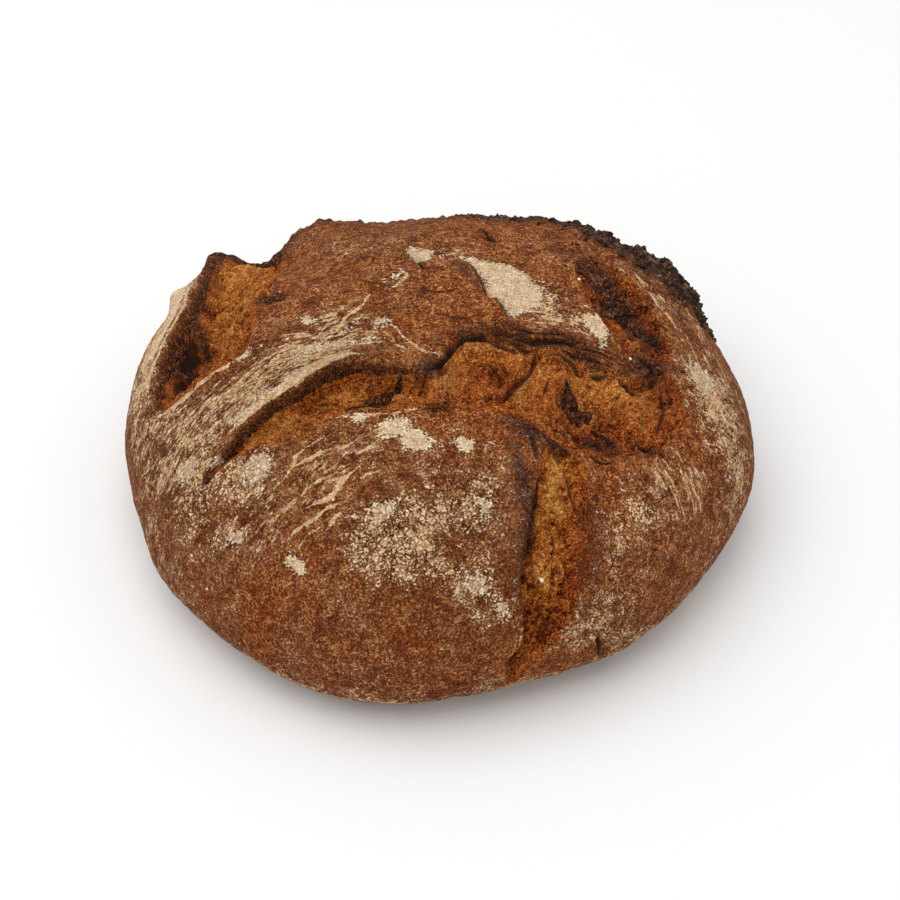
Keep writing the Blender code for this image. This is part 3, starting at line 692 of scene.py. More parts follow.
def grain(tree, place, size, detail=2.0, rough=0.5):
    """Noise spread from 0 to 1, with grains of a size in millimetres, on places in metres."""
    feeds = {"Vector": place, "Scale": 1.0 / (size * MM), "Detail": detail, "Roughness": rough}
    return ease(tree, node(tree, "TexNoise", feeds), 0.3, 0.7)


def threads(tree, place, size, slender, detail=1.0):
    """Thin curled lines, 1 on them and 0 between, where noise of a size in millimetres passes its middle."""
    feeds = {"Vector": place, "Scale": 1.0 / (size * MM), "Detail": detail, "Distortion": 1.2}
    off_middle = maths(tree, "ABSOLUTE", maths(tree, "SUBTRACT", node(tree, "TexNoise", feeds), 0.5))
    return ease(tree, off_middle, 0.25 * slender, slender, 1.0, 0.0)


def drawn_out(tree, along, across, shake=0.0):
    """Streak coordinates: the ways along and off the stream, divided by lengths in millimetres."""
    return node(tree, "CombineXYZ", {
        0: maths(tree, "DIVIDE", field(tree, "stream_along"), along),
        1: maths(tree, "DIVIDE", field(tree, "stream_off"), across), 2: shake,
    })


def streaked(tree, place, detail=3.0):
    """Noise spread from 0 to 1 on streak coordinates."""
    feeds = {"Vector": place, "Scale": 1.0, "Detail": detail, "Roughness": 0.6, "Distortion": 0.5}
    return ease(tree, node(tree, "TexNoise", feeds), 0.32, 0.68)


def thin_layers(tree):
    """Long thin dark streaks along the stream, where the dough tore into layers: painted shade in the gaps
    between them.
    """
    layers = ease(tree, streaked(tree, drawn_out(tree, 9.0, 0.8), 2.0), 0.4, 0.7)
    return product(tree, layers, field(tree, "layered"))


def times(tree, colour, red, green, blue):
    """A colour with its red, green and blue light multiplied."""
    feeds = {0: 1.0, 6: colour, 7: (red, green, blue, 1.0)}
    return node(tree, "Mix", feeds, 2, data_type="RGBA", blend_type="MULTIPLY")


def blend(tree, share, under, over, strength=1.0):
    """From one colour to another, by a share that counts at a strength."""
    if strength != 1.0:
        share = product(tree, share, strength)
    return node(tree, "Mix", {0: share, 6: under, 7: over}, 2, data_type="RGBA")


def shades(tree, value, *stops):
    """A colour ramp: each stop is a place from 0 to 1 and a colour."""
    made = node(tree, "ValToRGB", {0: value})
    ramp = made.node.color_ramp
    for number, (place, colour) in enumerate(stops):
        stop = ramp.elements[number] if number < 2 else ramp.elements.new(place)
        stop.position = place
        stop.color = colour
    return made


def finish_with(tree, colour, height, rough):
    """Feeds the shader with the colour, and with the slope of a height in millimetres."""
    shader = tree.nodes["Principled BSDF"]
    tree.links.new(colour, shader.inputs["Base Color"])
    tree.links.new(node(tree, "Bump", {"Distance": MM, "Height": height}), shader.inputs["Normal"])
    shader.inputs["Roughness"].default_value = rough
    shader.inputs["Specular IOR Level"].default_value = 0.15


def mesh_piece(name, points, faces, smooth, spot, fields, material):
    """A mesh object from points in millimetres round the crown, with the crust map as its UV map and one
    value for each point from each field. The first faces, up to the number smooth, are shaded smooth."""
    mesh = bpy.data.meshes.new(name)
    mesh.from_pydata((points + (*CROWN, 0.0)) * MM, [], faces)
    for field_name, values in fields.items():
        mesh.attributes.new(field_name, "FLOAT", "POINT").data.foreach_set("value", values.astype(np.float32))
    corner = np.empty(len(mesh.loops), np.int32)
    mesh.loops.foreach_get("vertex_index", corner)
    layer = mesh.uv_layers.new(name="crust_map")
    layer.uv.foreach_set("vector", (spot[corner] / MAP_WIDTH + 0.5).astype(np.float32).ravel())
    mesh.polygons.foreach_set("use_smooth", np.arange(len(mesh.polygons)) < smooth)
    mesh.materials.append(material)
    piece = bpy.data.objects.new(name, mesh)
    bpy.context.collection.objects.link(piece)
    return piece


PLATES_IN_A_METRE = 450.0  # the plates that thick flour cracks into
PLATE_SHAKE = (0.0014, 0.0014, 0.0014)

floured_crust = bpy.data.materials.new("floured_crust")
floured_crust.use_nodes = True
tree = floured_crust.node_tree
place = node(tree, "TexCoord", {}, 3)
broad = grain(tree, place, 22.0, 3.0, 0.6)
patchy = grain(tree, place, 9.0, 3.0, 0.6)
middling = grain(tree, place, 2.8, 3.0, 0.65)
fine = ease(tree, grain(tree, place, 0.8, 2.0, 0.65), 0.12, 0.88)
fibrous = field(tree, "fibrous")
follow = field(tree, "stream_follow")

tone = mixture(tree, (fine, 0.52), (middling, 0.20), (patchy, 0.15), (broad, 0.13))
colour = shades(
    tree, tone, (0.0, paint(48, 20, 5)), (0.28, paint(86, 38, 11)), (0.5, paint(114, 57, 22)),
    (0.72, paint(142, 77, 37)), (1.0, paint(204, 142, 94)),
)
colour = blend(tree, ease(tree, broad, 0.5, 1.0), colour, times(tree, colour, 0.86, 0.90, 1.15))
colour = blend(tree, ease(tree, broad, 0.1, 0.5, 1.0, 0.0), colour, times(tree, colour, 1.16, 1.02, 0.72))
dim = product(tree, ease(tree, patchy, 0.1, 0.45, 1.0, 0.0), fibrous)
colour = blend(tree, dim, colour, paint(72, 36, 21), 0.5)
short = product(tree, threads(tree, place, 2.4, 0.07), ease(tree, grain(tree, place, 4.0), 0.25, 0.8))
curled = product(tree, threads(tree, place, 5.0, 0.04, 2.0), ease(tree, grain(tree, place, 6.5), 0.2, 0.6))
fibre = maths(tree, "MAXIMUM", product(tree, short, 0.8), product(tree, curled, fibrous))
fibre_shade = shades(tree, fine, (0.2, paint(170, 104, 52)), (0.9, paint(218, 158, 98)))
colour = blend(tree, fibre, colour, fibre_shade, 0.85)
# Pores and nicks: painted shade in small holes of the crust, most in the fibrous parts, with a dip in the
# bump.
hole = node(tree, "TexVoronoi", {"Vector": place, "Scale": 430.0})
pore = product(tree, ease(tree, hole, 0.14, 0.36, 1.0, 0.0), ease(tree, middling, 0.25, 0.6, 1.0, 0.0))
pore = product(tree, pore, maths(tree, "MULTIPLY_ADD", fibrous, 0.7, 0.3))
colour = blend(tree, pore, colour, paint(40, 17, 9), 0.9)
colour = blend(tree, field(tree, "warm"), colour, times(tree, colour, 1.36, 1.04, 0.55), 0.75)

# Burnt crust, and the dark bands of painted shade along the edges of tears, cracks and steps.
scorch_and_shade = frayed(tree, "char_and_shade", 0.6, 1.02, (middling, 0.45), (fine, 0.2))
burnt_and_shade_colour = shades(tree, mixture(tree, (fine, 0.55), (middling, 0.45)), (0.15, paint(24, 14, 10)),
               (0.45, paint(58, 34, 24)), (0.7, paint(92, 58, 42)), (1.0, paint(150, 108, 82)))
colour = blend(tree, scorch_and_shade, colour, burnt_and_shade_colour, 0.92)
black = frayed(tree, "char_and_shade", 0.9, 1.25, (middling, 0.3))
colour = blend(tree, black, colour, paint(24, 16, 12), 0.75)
# Thin layers: dark streaks of painted shade between them.
layers = thin_layers(tree)
colour = blend(tree, layers, colour, paint(46, 20, 11), 0.5)

streaks = streaked(tree, drawn_out(tree, 6.0, 1.5))
worms = threads(tree, place, 1.7, 0.16)
speckle = mixture(tree, (middling, 0.35), (fine, 0.35), (worms, 0.30))
speckle = node(tree, "Mix", {0: product(tree, follow, 0.75), 2: speckle, 3: streaks})
shake = node(tree, "TexNoise", {"Vector": place, "Scale": PLATES_IN_A_METRE, "Detail": 1.0}, 1)
shaken = node(tree, "VectorMath", {0: shake, 1: PLATE_SHAKE, 2: place}, operation="MULTIPLY_ADD")
round_plates = {"Vector": shaken, "Scale": PLATES_IN_A_METRE}
long_plates = {"Vector": drawn_out(tree, 3.4, 1.5, product(tree, middling, 0.5)), "Scale": 1.0}
by_stream = ease(tree, follow, 0.35, 0.6)
gap, plate = (
    node(tree, "Mix", {0: by_stream, 2: node(tree, "TexVoronoi", round_plates, out, feature=feature),
                       3: node(tree, "TexVoronoi", long_plates, out, feature=feature)})
    for feature, out in (("DISTANCE_TO_EDGE", 0), ("F1", 1))
)
crackled = field(tree, "crackle")
chink_width = maths(tree, "ADD", mixture(tree, (middling, 0.14), (patchy, 0.10)), 0.01)
chinks = product(tree, ease(tree, gap, 0.0, chink_width, 1.0, 0.0), crackled)

dust = field(tree, "dust")
uneven = mixture(tree, (patchy, 1.8), (middling, 2.0), (fine, 1.6))
thick = ease(tree, maths(tree, "ADD", field(tree, "flour"), uneven), 2.2, 3.0)
lined = frayed(tree, "flour_line", 0.85, 1.3, (speckle, 1.4), (patchy, 0.5))
loose = mixture(
    tree, (dust, 1.0), (speckle, 1.1), (patchy, 0.5), (product(tree, plate, crackled), 0.6),
    (crackled, -0.3), (chinks, -0.35),
)
dusty = product(tree, ease(tree, loose, 1.35, 1.7), 0.95)
veil = product(tree, dust, ease(tree, mixture(tree, (patchy, 0.6), (middling, 0.4)), 0.3, 0.8))
cover = maths(tree, "MAXIMUM", maths(tree, "MAXIMUM", thick, lined), dusty)
cover = maths(tree, "MAXIMUM", cover, product(tree, veil, 0.2))
flour_shade = shades(
    tree, mixture(tree, (fine, 0.5), (middling, 0.3), (plate, 0.2)),
    (0.0, paint(164, 124, 82)), (0.4, paint(218, 184, 143)), (1.0, paint(250, 230, 200)),
)
thin_shade = times(tree, flour_shade, 1.02, 0.90, 0.78)
colour = blend(tree, cover, colour, blend(tree, thick, thin_shade, flour_shade))
colour = blend(tree, chinks, colour, paint(106, 56, 20), 0.6)
# Rifts: painted shade in the thin splits, over their grooves.
rift = frayed(tree, "rift", 0.25, 0.8, (middling, 0.5), (fine, 0.4))
colour = blend(tree, rift, colour, paint(34, 17, 11), 0.85)
# The torn side under a curled edge: partly burnt edge, partly painted shade under the lip.
brink = frayed(tree, "brink", 0.72, 1.02, (middling, 0.9), (fine, 0.4))
torn_side = shades(tree, mixture(tree, (fine, 0.5), (middling, 0.5)), (0.2, paint(20, 10, 7)),
                   (0.5, paint(72, 36, 19)), (0.85, paint(156, 94, 50)))
colour = blend(tree, brink, colour, torn_side, 0.96)

height = mixture(
    tree, (fine, 0.3), (middling, 0.35), (fibre, 0.3), (pore, -0.4), (cover, 0.25), (chinks, -0.5),
    (product(tree, streaks, follow), 0.5), (product(tree, scorch_and_shade, middling), 0.8),
    (layers, -0.5),
)
finish_with(tree, colour, height, 0.9)


def rings(rows, count, closed):
    """Squares between rings of points, row by row outwards and counterclockwise, the last row to the first
    again if closed."""
    place = np.arange(rows * count).reshape(rows, count)
    place = np.concatenate([place, place[:1]]) if closed else place
    ahead = np.roll(place, -1, axis=1)
    return np.stack([place[:-1], place[1:], ahead[1:], ahead[:-1]], axis=-1).reshape(-1, 4)


INNER_SHARE = 0.8
INNER_HEIGHT = 14.0


def inside_ring(points):
    """The same ring drawn in and set low, inside the loaf: an edge to close a piece of crust with."""
    return np.column_stack([points[:, :2] * INNER_SHARE, np.full(len(points), INNER_HEIGHT)])


line = np.linspace(-1.0, 1.0, CROWN_CELLS + 1)
x, y = (side.ravel() for side in np.meshgrid(line, line))
crown_spot = CROWN_REACH * np.stack([x * np.sqrt(1.0 - y**2 / 2.0), y * np.sqrt(1.0 - x**2 / 2.0)], axis=1)
place = np.arange((CROWN_CELLS + 1) ** 2).reshape(CROWN_CELLS + 1, CROWN_CELLS + 1)
squares = np.stack([place[:-1, :-1], place[:-1, 1:], place[1:, 1:], place[1:, :-1]], axis=-1).reshape(-1, 4)
rim = np.concatenate([place[0, :-1], place[:-1, -1], place[-1, :0:-1], place[:0:-1, 0]])
heading = crown_spot[rim] / CROWN_REACH
count = len(rim)

points, fields = crust_at(crown_spot)
inner = len(points) + np.arange(count)
walls = np.stack([rim, inner, np.roll(inner, -1), np.roll(rim, -1)], axis=1)
crown = mesh_piece(
    "crust_crown", np.concatenate([points, inside_ring(points[rim])]),
    [*squares.tolist(), *walls.tolist(), inner[::-1].tolist()], len(squares),
    np.concatenate([crown_spot, crown_spot[rim]]),
    {name: np.concatenate([values, values[rim]]) for name, values in fields.items()}, floured_crust,
)

walk = np.linspace(CROWN_REACH, SHOULDER_REACH, SHOULDER_ROWS + 1)
spot = (walk[:, None, None] * heading).reshape(-1, 2)
points, fields = crust_at(spot)
points = np.concatenate([points, inside_ring(points[-count:]), inside_ring(points[:count])])
faces = rings(SHOULDER_ROWS + 3, count, closed=True)
shoulder = mesh_piece(
    "crust_shoulder", points, faces.tolist(), SHOULDER_ROWS * count,
    np.concatenate([spot, spot[-count:], spot[:count]]),
    {name: np.concatenate([values, values[-count:], values[:count]]) for name, values in fields.items()},
    floured_crust,
)

walk = np.linspace(SHOULDER_REACH, FOOT_REACH, FOOT_ROWS + 1)
spot = (walk[:, None, None] * heading).reshape(-1, 2)
points, fields = crust_at(spot)
points = np.concatenate([points, inside_ring(points[:count])])
outside = rings(FOOT_ROWS + 1, count, closed=False)
inner = len(spot) + np.arange(count)
walls = np.stack([inner, np.arange(count), np.roll(np.arange(count), -1), np.roll(inner, -1)], axis=1)
bottom = len(spot) - count + np.arange(count)
foot = mesh_piece(
    "crust_foot", points,
    [*outside.tolist(), *walls.tolist(), inner.tolist(), bottom[::-1].tolist()], len(outside),
    np.concatenate([spot, spot[:count]]),
    {name: np.concatenate([values, values[:count]]) for name, values in fields.items()}, floured_crust,
)
for piece in (crown, shoulder, foot):
    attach(piece, "root")
    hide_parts("loaf")

# --------------------------------------------------------------------------------------------------
# The crumb: the rough inside of the loaf that shows in the tears, one slab for each tear on a closer grid
# than the crust. Outside the ragged edge of its tear it sinks under the crust, where it is closed.

CRUMB_CELL = 0.45
CRUMB_MARGIN = 3.0
CRUMB_SINK = 2.4
CRUMB_THICKNESS = 2.5
FINE_GROUND = ((2.6, 0.7), (1.3, 0.45))
PITS = ((4.5, 1.1), (2.2, 0.9))
RAGGED_EDGE = ((4.5, 0.8), (1.9, 0.5))
RIM_HEIGHT = 0.7
CREASE_DEPTH = 0.9
CRUMB_CRAG_HEIGHT = 2.0
SMOOTH_LOBES = ((1.0, 13, -27, 10, 12, 0), (1.0, 37, -27, 9, 14, 0), (0.7, 66, -30, 16, 13, 0))
GOLDEN = (
    (0.75, -79, 52, 11, 26, 5), (0.5, -76, 14, 10, 16, 10), (0.8, -48, -36, 20, 5, 25),
    (0.7, -10, -28, 8, 5, 0), (0.9, 5, -24, 4, 14, -10), (0.9, 18, -10, 12, 4, 0), (0.8, 38, -14, 9, 5, -10),
    (0.9, 62, -24, 14, 6, -25), (1.0, 44, -67, 5, 11, 0), (0.8, 43, -80, 4, 7, 0), (0.5, 48, -78, 2, 7, 0),
    (0.5, 44, -105, 6, 14, 0), (0.5, -20, -24, 12, 4, 10), (0.7, 40, -47, 8, 3, -35),
)
RUDDY = (
    (0.65, 20, -25, 8, 8, 0), (0.6, 46, -26, 4, 9, 0), (0.8, 34, -48, 9, 6, 0), (0.8, 64, -44, 9, 7, 0),
    (0.6, 82, -34, 9, 16, 10), (0.6, -56, 24, 8, 18, 0), (0.5, -60, -6, 12, 8, 0),
    # The first below darkens the front furrow's right wall to reddish brown: painted shade.
    (0.55, 56, -96, 4.5, 30, 2), (0.5, -64, 78, 10, 12, 0), (0.7, 86, 0, 8, 14, 0),
    (0.8, -22, -32, 10, 4, 35),
)
# Burnt crumb, and painted shade on dark walls, such as the front furrow's right wall.
CRUMB_CHARRED_AND_SHADED = (
    (0.7, -102, 3, 5, 14, 20), (0.72, -96, 28, 3, 16, 10), (0.3, -93, 8, 6, 10, 20),
    (0.5, -24, -27, 8, 1.6, 15), (0.65, -85, -60, 6, 4, 30), (0.75, -61, 26, 6, 4, 0),
    (0.5, -93, 68, 2, 8, 10), (0.7, -88, 92, 16, 8, 30), (0.6, -64, 92, 18, 5, 20),
    (0.5, 36, -76, 1.6, 12, 0), (0.3, 58, -92, 2.5, 26, 2), (0.45, 69, 23, 26, 8, -61),
    (0.3, 84, -30, 6, 16, 10),
)
CRUMB_RIMS = (  # bright torn edges: half width, knots
    (2.4, ((6, -36), (5, -29), (7, -15))),
    (1.3, ((5, -18), (8, -12), (12, -9), (17, -8), (23, -9), (29, -8), (33, -10))),
    (1.2, ((38, -11), (43, -10), (49, -12), (52, -14))),
    (1.3, ((36, -20), (33, -28), (30, -36), (33, -41))),
    (0.8, ((39, -42), (44, -41), (49, -45), (53, -52))),
    (0.7, ((36, -43), (43, -45), (48, -48))),
    (1.3, ((52, -22), (56, -18), (62, -18), (69, -20))),
    (1.1, ((53, -27), (54, -33), (57, -37), (61, -40))),
    (0.9, ((71, -23), (76, -29), (77, -38), (74, -52))),
    (1.0, ((45, -70), (46, -76), (50, -81))),
    (0.9, ((-38, -40), (-30, -40), (-22, -37), (-15, -34), (-11, -29))),
)
# Creases are sunk and painted dark: the dark is painted shade in the folds.
CREASES = (  # dark reddish folds: half width, knots
    (1.3, ((37, -8), (35, -19), (31, -25), (28, -30), (25, -38))),
    (0.5, ((42, -22), (40, -32))),
    (0.6, ((24, -15), (27, -18), (26, -21))),
    (0.5, ((13, -18), (20, -17), (25, -23), (22, -30))),
    (0.6, ((50, -68), (52, -75), (56, -82))),
    (0.8, ((37, -62), (38, -75), (36, -90), (38, -104))),
    (0.3, ((44, -88), (46, -96), (43, -104))),
    (0.7, ((84, -14), (86, -26), (83, -40))),
    (1.6, ((-104, 12), (-102, 17), (-101, 22))),
    (0.8, ((-78, 36), (-76, 33), (-73, 34))),
    (0.8, ((-77, 20), (-74, 17), (-70, 17))),
    (0.7, ((-94, 6), (-88, 2), (-82, 4))),
    (0.7, ((-60, -40), (-50, -36), (-40, -30))),
    (0.6, ((-38, -38), (-28, -33), (-20, -28), (-10, -30))),
)
CRUMB_STREAMS = (
    (12.0, ((-86, -60), (-62, -44), (-40, -31), (-18, -29), (-2, -30))),
    (6.0, ((46, -54), (46, -75), (45, -95), (43, -115), (41, -140))),
    (16.0, ((-66, 84), (-74, 55), (-80, 25), (-92, -8))),
    (12.0, ((6, -44), (10, -30), (16, -12))),
    (12.0, ((36, -44), (38, -30), (44, -12))),
    (16.0, ((58, -50), (64, -36), (76, -24), (88, -18))),
)


def crumb_roughness(spot, points, torn):
    """Lumps of falling size, ridges drawn out along the way the dough tore, and pits where the middle of a
    bubble is close, in from the tear's edge."""
    along, off, follow = stream_of(spot, CRUMB_STREAMS)
    rough = ground(points, (*CRUMB_GROUND, *FINE_GROUND), 10)
    torn_way = np.stack([along / 6.0, off / 1.5, np.zeros(len(spot))], axis=1)
    rough += 0.9 * follow * lumps(torn_way, 1.0, 70)
    pits = sum(deep * smooth_step(0.55 - bubbles(points, size, 60), 0.0, 0.35) for size, deep in PITS)
    smooth = sum_of_mounds(spot, SMOOTH_LOBES)
    rough = (rough - pits) * (1.0 - 0.5 * smooth)
    return rough * smooth_step(torn, -0.5, 2.5), smooth, along, off, follow


def slab(lattice, kept):
    """Faces of a closed slab over the kept squares of a lattice of points: the squares, then the same on its
    lower side turned over, and a square below each edge that only one kept square has."""
    rows, columns = lattice
    place = np.arange(rows * columns).reshape(rows, columns)
    squares = np.stack([place[:-1, :-1], place[:-1, 1:], place[1:, 1:], place[1:, :-1]], axis=-1)[kept]
    start, end = squares.ravel(), np.roll(squares, -1, axis=1).ravel()
    rim = ~np.isin(start * place.size + end, end * place.size + start)
    start, end = start[rim], end[rim]
    below = squares[:, ::-1] + place.size
    sides = np.stack([end, start, start + place.size, end + place.size], axis=1)
    used, faces = np.unique(np.concatenate([squares, below, sides]), return_inverse=True)
    return used, faces.reshape(-1, 4), len(squares)


torn_crumb = bpy.data.materials.new("torn_crumb")
torn_crumb.use_nodes = True
tree = torn_crumb.node_tree
place = node(tree, "TexCoord", {}, 3)
fine = ease(tree, grain(tree, place, 0.8, 3.0, 0.65), 0.12, 0.88)
middling = grain(tree, place, 2.6, 4.0, 0.65)
golden = field(tree, "golden")
strands = product(tree, streaked(tree, drawn_out(tree, 5.0, 1.0)), field(tree, "stream_follow"))
# The crumb's own height feeds its tone: painted shade in the hollows and painted light on the lumps.
tone = mixture(
    tree, (field(tree, "rough"), 0.14), (fine, 0.44), (middling, 0.22), (strands, 0.20), (golden, 0.14),
)
colour = shades(
    tree, maths(tree, "ADD", tone, 0.10), (0.0, paint(62, 26, 6)), (0.22, paint(112, 52, 14)),
    (0.42, paint(166, 90, 31)), (0.66, paint(206, 132, 56)), (1.0, paint(236, 184, 114)),
)
colour = blend(tree, golden, times(tree, colour, 1.06, 0.84, 0.66), times(tree, colour, 1.13, 1.05, 0.86))
colour = blend(tree, field(tree, "ruddy"), colour, times(tree, colour, 0.88, 0.70, 0.88), 0.8)
rim = frayed(tree, "rim", 0.2, 1.2, (middling, 0.7), (fine, 0.5))
rim_shade = shades(tree, fine, (0.1, paint(150, 86, 30)), (0.8, paint(216, 152, 78)))
colour = blend(tree, rim, colour, rim_shade, 0.75)
# Pores: painted shade in small holes, fewer on the smooth lobes, with a dip in the bump.
hole = node(tree, "TexVoronoi", {"Vector": place, "Scale": 420.0})
pore = product(tree, ease(tree, hole, 0.12, 0.36, 1.0, 0.0), ease(tree, middling, 0.15, 0.5, 1.0, 0.0))
pore = product(tree, pore, ease(tree, field(tree, "smooth"), 0.0, 1.0, 1.0, 0.4))
colour = blend(tree, pore, colour, paint(58, 23, 7), 0.6)
# Creases: painted shade in the folds.
crease = frayed(tree, "crease", 0.2, 0.9, (middling, 0.6), (fine, 0.4))
colour = blend(tree, crease, colour, paint(56, 23, 13), 0.85)
# Thin layers: dark streaks of painted shade between them.
layers = thin_layers(tree)
colour = blend(tree, layers, colour, paint(46, 20, 11), 0.65)
# Burnt crumb, and painted shade on dark walls and under curled lips.
scorch_and_shade = frayed(tree, "char_and_shade", 0.7, 1.0, (middling, 0.5), (fine, 0.2))
burnt_and_shade_colour = shades(tree, mixture(tree, (fine, 0.45), (middling, 0.55)), (0.2, paint(12, 7, 7)),
               (0.5, paint(58, 32, 24)), (0.75, paint(120, 68, 42)), (1.0, paint(176, 108, 62)))
colour = blend(tree, scorch_and_shade, colour, burnt_and_shade_colour, 0.93)
# Rifts: painted shade in the thin splits, over their grooves.
rift = frayed(tree, "rift", 0.25, 0.8, (middling, 0.5), (fine, 0.4))
colour = blend(tree, rift, colour, paint(26, 13, 9), 0.85)
height = mixture(tree, (middling, 0.8), (fine, 0.6), (strands, 0.6), (pore, -0.8), (layers, -0.5))
finish_with(tree, colour, height, 0.85)

CRUMB_PIECES = (  # name, and which of the tears it fills
    ("left_tear", (0, 1)), ("left_furrow", (2,)), ("middle_tear", (3,)), ("front_furrow", (4,)),
    ("right_tear", (5,)),
)
for name, tears in CRUMB_PIECES:
    outline = np.concatenate([np.array(TEARS[number][1], float)[:, :2] for number in tears])
    low = np.floor(outline.min(axis=0) / CRUMB_CELL - 12.0)
    high = np.ceil(outline.max(axis=0) / CRUMB_CELL + 12.0)
    a, b = np.meshgrid(np.arange(low[0], high[0]) * CRUMB_CELL, np.arange(low[1], high[1]) * CRUMB_CELL)
    spot = np.stack([a.ravel(), b.ravel()], axis=1)
    land = lie_of_the_land(spot)
    torn = land["torn"].reshape(a.shape)
    torn = np.minimum(np.minimum(torn[:-1, :-1], torn[:-1, 1:]), np.minimum(torn[1:, :-1], torn[1:, 1:]))
    mine = np.isin(land["tear"].reshape(a.shape)[:-1, :-1], tears)
    used, faces, upper = slab(a.shape, mine & (torn > -CRUMB_MARGIN))
    soft = 1.0 + 1.6 * (1.0 - np.clip(land["curl"] / 1.5, 0.0, 1.0))
    ragged = land["torn"] + soft * ground(land["points"], RAGGED_EDGE, 31)
    rough, smooth, along, off, follow = crumb_roughness(spot, land["points"], ragged)
    rift, rim, crease = (lines_at(spot, lines) for lines in (RIFTS, CRUMB_RIMS, CREASES))
    surface = land["level"] - land["depth"] + rough - RIFT_DEPTH * smooth_step(rift, *RIFT_WALL)
    surface += RIM_HEIGHT * smooth_step(rim, -1.0, 0.6) - CREASE_DEPTH * smooth_step(crease, -0.8, 0.6)
    crags = np.abs(lumps(land["points"], CRAG_LUMPS[0][0], 50))
    surface += CRUMB_CRAG_HEIGHT * sum_of_mounds(spot, CRAGGY) * crags
    surface -= CRUMB_SINK * smooth_step(0.4 - ragged, 0.0, 1.4)
    # Painted shade under curled lips, on the crumb's walls just below them, joined to its char.
    shade_under_lip = land["curl"] / 4.0 * (1.0 - smooth_step(land["walls"], 0.1, 0.45))
    char_and_shade = char_and_shade_at(spot, (*CHARRED_AND_SHADED, *CRUMB_CHARRED_AND_SHADED))
    baked_edge = 0.3 * (soft - 1.0) * (1.0 - smooth_step(ragged, 0.0, 6.0))
    fields = {
        "rough": rough, "smooth": smooth, "golden": sum_of_mounds(spot, GOLDEN), "rift": rift, "rim": rim,
        "crease": crease, "char_and_shade": np.maximum(char_and_shade, np.clip(shade_under_lip, 0.0, 0.6)),
        "ruddy": np.maximum(sum_of_mounds(spot, RUDDY), baked_edge), "layered": sum_of_mounds(spot, LAYERED),
        "stream_along": along, "stream_off": off, "stream_follow": follow,
    }
    fields = {field_name: np.tile(values, 2)[used] for field_name, values in fields.items()}
    top, bottom = stand_off(spot, surface), stand_off(spot, surface - CRUMB_THICKNESS)
    points = np.concatenate([top, bottom])[used]
    flat_spot = np.tile(spot, (2, 1))[used]
    crumb = mesh_piece("crumb_" + name, points, faces.tolist(), upper, flat_spot, fields, torn_crumb)
    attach(crumb, "root")
    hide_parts("loaf")

# --------------------------------------------------------------------------------------------------
# Burnt crumbs: bits of dough that tore off and charred on the back of the right shoulder, small closed lumps
# sunk a little into the crust, and a few white grains of flour that stick in the tears.

CRUMB_STREWN = (  # how many, a, b, reach along and across, turn, smallest and largest size
    (200, 60, 88, 16, 5.0, -25, 0.7, 2.0), (360, 79, 72, 12, 6.5, -42, 0.9, 2.6),
    (360, 95, 60, 11, 6.0, -50, 0.9, 2.6), (120, 100, 72, 16, 6.0, -48, 0.8, 2.2),
    (70, 36, 94, 14, 4.0, -5, 0.7, 1.7),
    (50, 63, 36, 13, 5.0, -62, 0.7, 1.8), (20, 72, 16, 8, 6, 0, 0.6, 1.5), (14, 80, 9, 5, 3, 0, 0.6, 1.4),
    (14, 79, -9, 5, 3, 0, 0.6, 1.4), (12, 14, 104, 6, 3, 0, 0.7, 1.5),
)
WHITE_GRAINS = ((42, -107.5, 1.0), (53, 34, 0.8), (-91, -99, 0.6), (72, -8, 0.6), (-97, 9, 0.6))
LUMP_UNEVEN = 0.35


def lump_form():
    """Corners and faces of a ball with 12 corners, from an icosphere."""
    ball = bmesh.new()
    bmesh.ops.create_icosphere(ball, subdivisions=1, radius=1.0)
    corners = np.array([corner.co for corner in ball.verts])
    faces = np.array([[corner.index for corner in face.verts] for face in ball.faces])
    ball.free()
    return corners, faces


def strewn_lumps(spot, size, sink, seed):
    """One closed lump at each spot: the ball's corners moved in or out, drawn out along three axes that are
    turned at random, and set on the crust with its middle at a share of its size."""
    random = np.random.default_rng(seed)
    corners, faces = lump_form()
    uneven = 1.0 + LUMP_UNEVEN * random.uniform(-1.0, 1.0, (len(spot), len(corners), 1))
    shape = corners * uneven * random.uniform(0.55, 1.15, (len(spot), 1, 3))
    turn = np.linalg.qr(random.normal(size=(len(spot), 3, 3)))[0]
    turn *= np.sign(np.linalg.det(turn))[:, None, None]
    land = lie_of_the_land(spot)
    middle = stand_off(spot, land["level"] - land["depth"] + sink * size)
    points = middle[:, None] + size[:, None, None] * np.einsum("nij,nkj->nki", turn, shape)
    number = np.arange(len(spot))[:, None, None] * len(corners)
    return points.reshape(-1, 3), (faces + number).reshape(-1, 3), np.repeat(spot, len(corners), axis=0)


random = np.random.default_rng(4)
strewn, sizes = [], []
for many, a, b, along, across, turn, small, large in CRUMB_STREWN:
    turn = np.radians(turn)
    shift = random.normal(size=(many, 2)) * (along, across)
    strewn.append(np.stack([
        a + shift[:, 0] * np.cos(turn) - shift[:, 1] * np.sin(turn),
        b + shift[:, 0] * np.sin(turn) + shift[:, 1] * np.cos(turn),
    ], axis=1))
    sizes.append(random.uniform(small, large, many) * random.uniform(0.5, 1.0, many))
strewn, sizes = np.concatenate(strewn), np.concatenate(sizes)

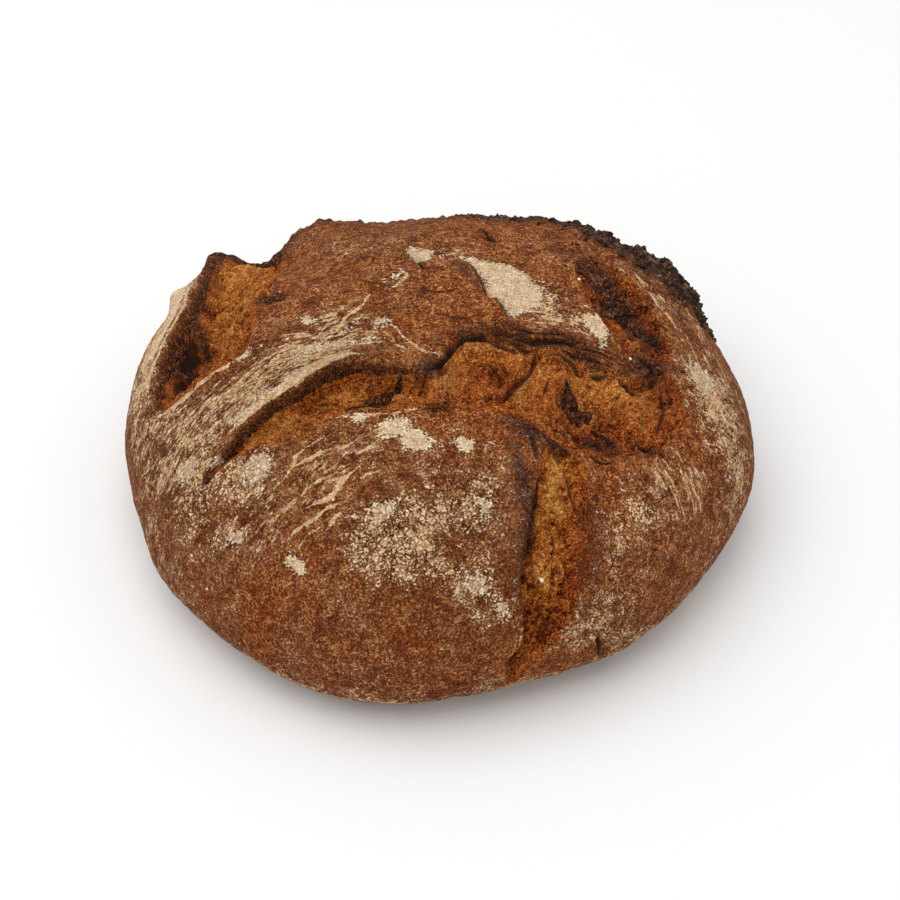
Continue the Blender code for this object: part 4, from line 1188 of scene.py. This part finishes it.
burnt_crumb = bpy.data.materials.new("burnt_crumb")
burnt_crumb.use_nodes = True
tree = burnt_crumb.node_tree
place = node(tree, "TexCoord", {}, 3)
tone = mixture(tree, (grain(tree, place, 4.0, 2.0), 0.55), (grain(tree, place, 0.9, 2.0), 0.45))
colour = shades(tree, tone, (0.1, paint(20, 14, 12)), (0.45, paint(48, 32, 25)), (0.75, paint(92, 64, 48)),
                (1.0, paint(150, 116, 90)))
finish_with(tree, colour, mixture(tree, (grain(tree, place, 0.8, 2.0), 0.3)), 0.8)
points, faces, spot = strewn_lumps(strewn, sizes, 0.25, 5)
crumbs = mesh_piece("burnt_crumbs", points, faces.tolist(), 0, spot, {}, burnt_crumb)

white_grain = bpy.data.materials.new("white_grain")
white_grain.use_nodes = True
tree = white_grain.node_tree
place = node(tree, "TexCoord", {}, 3)
mealy = grain(tree, place, 0.7, 2.0)
colour = shades(tree, mealy, (0.0, paint(226, 208, 180)), (1.0, paint(250, 242, 226)))
finish_with(tree, colour, mixture(tree, (mealy, 0.15)), 0.6)
grain_spot = np.array([[a, b] for a, b, size in WHITE_GRAINS], float)
points, faces, spot = strewn_lumps(grain_spot, np.array([size for a, b, size in WHITE_GRAINS]), 0.6, 6)
grains = mesh_piece("white_grains", points, faces.tolist(), len(faces), spot, {}, white_grain)
for piece, finish in ((crumbs, "crust"), (grains, "crumb")):
    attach(piece, "root")
    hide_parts("loaf")

# --------------------------------------------------------------------------------------------------
# The table it stands on: a plain pale top. A soft light hangs over it a little to the left, and the camera
# looks down at the front of the loaf.

FLOOR_REACH = 3.0
SKY_STRENGTH = 0.75
VIEW_POINT = Vector((0.0046, -0.0124, 0.040))
VIEW_DISTANCE = 0.750
VIEW_SLOPE = np.radians(45.0)
SENSOR_WIDTH = 36.0
LENS_LENGTH = 78.49

floor_mesh = bpy.data.meshes.new("table")
floor_corners = [(x * FLOOR_REACH, y * FLOOR_REACH, 0.0) for x, y in ((-1, -1), (1, -1), (1, 1), (-1, 1))]
floor_mesh.from_pydata(floor_corners, [], [(0, 1, 2, 3)])
pale = bpy.data.materials.new("pale_table")
pale.use_nodes = True
pale.node_tree.nodes["Principled BSDF"].inputs["Base Color"].default_value = (0.86, 0.86, 0.86, 1.0)
pale.node_tree.nodes["Principled BSDF"].inputs["Roughness"].default_value = 0.9
floor_mesh.materials.append(pale)
table = bpy.data.objects.new("table", floor_mesh)
bpy.context.collection.objects.link(table)

world = bpy.data.worlds.new("studio")
world.use_nodes = True
world.node_tree.nodes["Background"].inputs["Color"].default_value = (1.0, 1.0, 1.0, 1.0)
world.node_tree.nodes["Background"].inputs["Strength"].default_value = SKY_STRENGTH
bpy.context.scene.world = world


def soft_box(name, place, size, power):
    """A square area light at a place in metres, turned to the middle of the loaf."""
    lamp = bpy.data.lights.new(name, "AREA")
    lamp.size = size
    lamp.energy = power
    box = bpy.data.objects.new(name, lamp)
    box.location = place
    box.rotation_euler = (Vector((0.0, 0.0, 0.04)) - Vector(place)).to_track_quat("-Z", "Y").to_euler()
    bpy.context.collection.objects.link(box)


soft_box("key_light", (-0.35, -0.10, 1.5), 1.6, 15.0)

lens = bpy.data.cameras.new("camera")
lens.sensor_width = SENSOR_WIDTH
lens.lens = LENS_LENGTH
camera = bpy.data.objects.new("camera", lens)
back = Vector((0.0, -np.cos(VIEW_SLOPE), np.sin(VIEW_SLOPE)))
camera.location = VIEW_POINT + back * VIEW_DISTANCE
camera.rotation_euler = (-back).to_track_quat("-Z", "Y").to_euler()
bpy.context.collection.objects.link(camera)
bpy.context.scene.camera = camera
bpy.context.scene.view_settings.view_transform = "Standard"
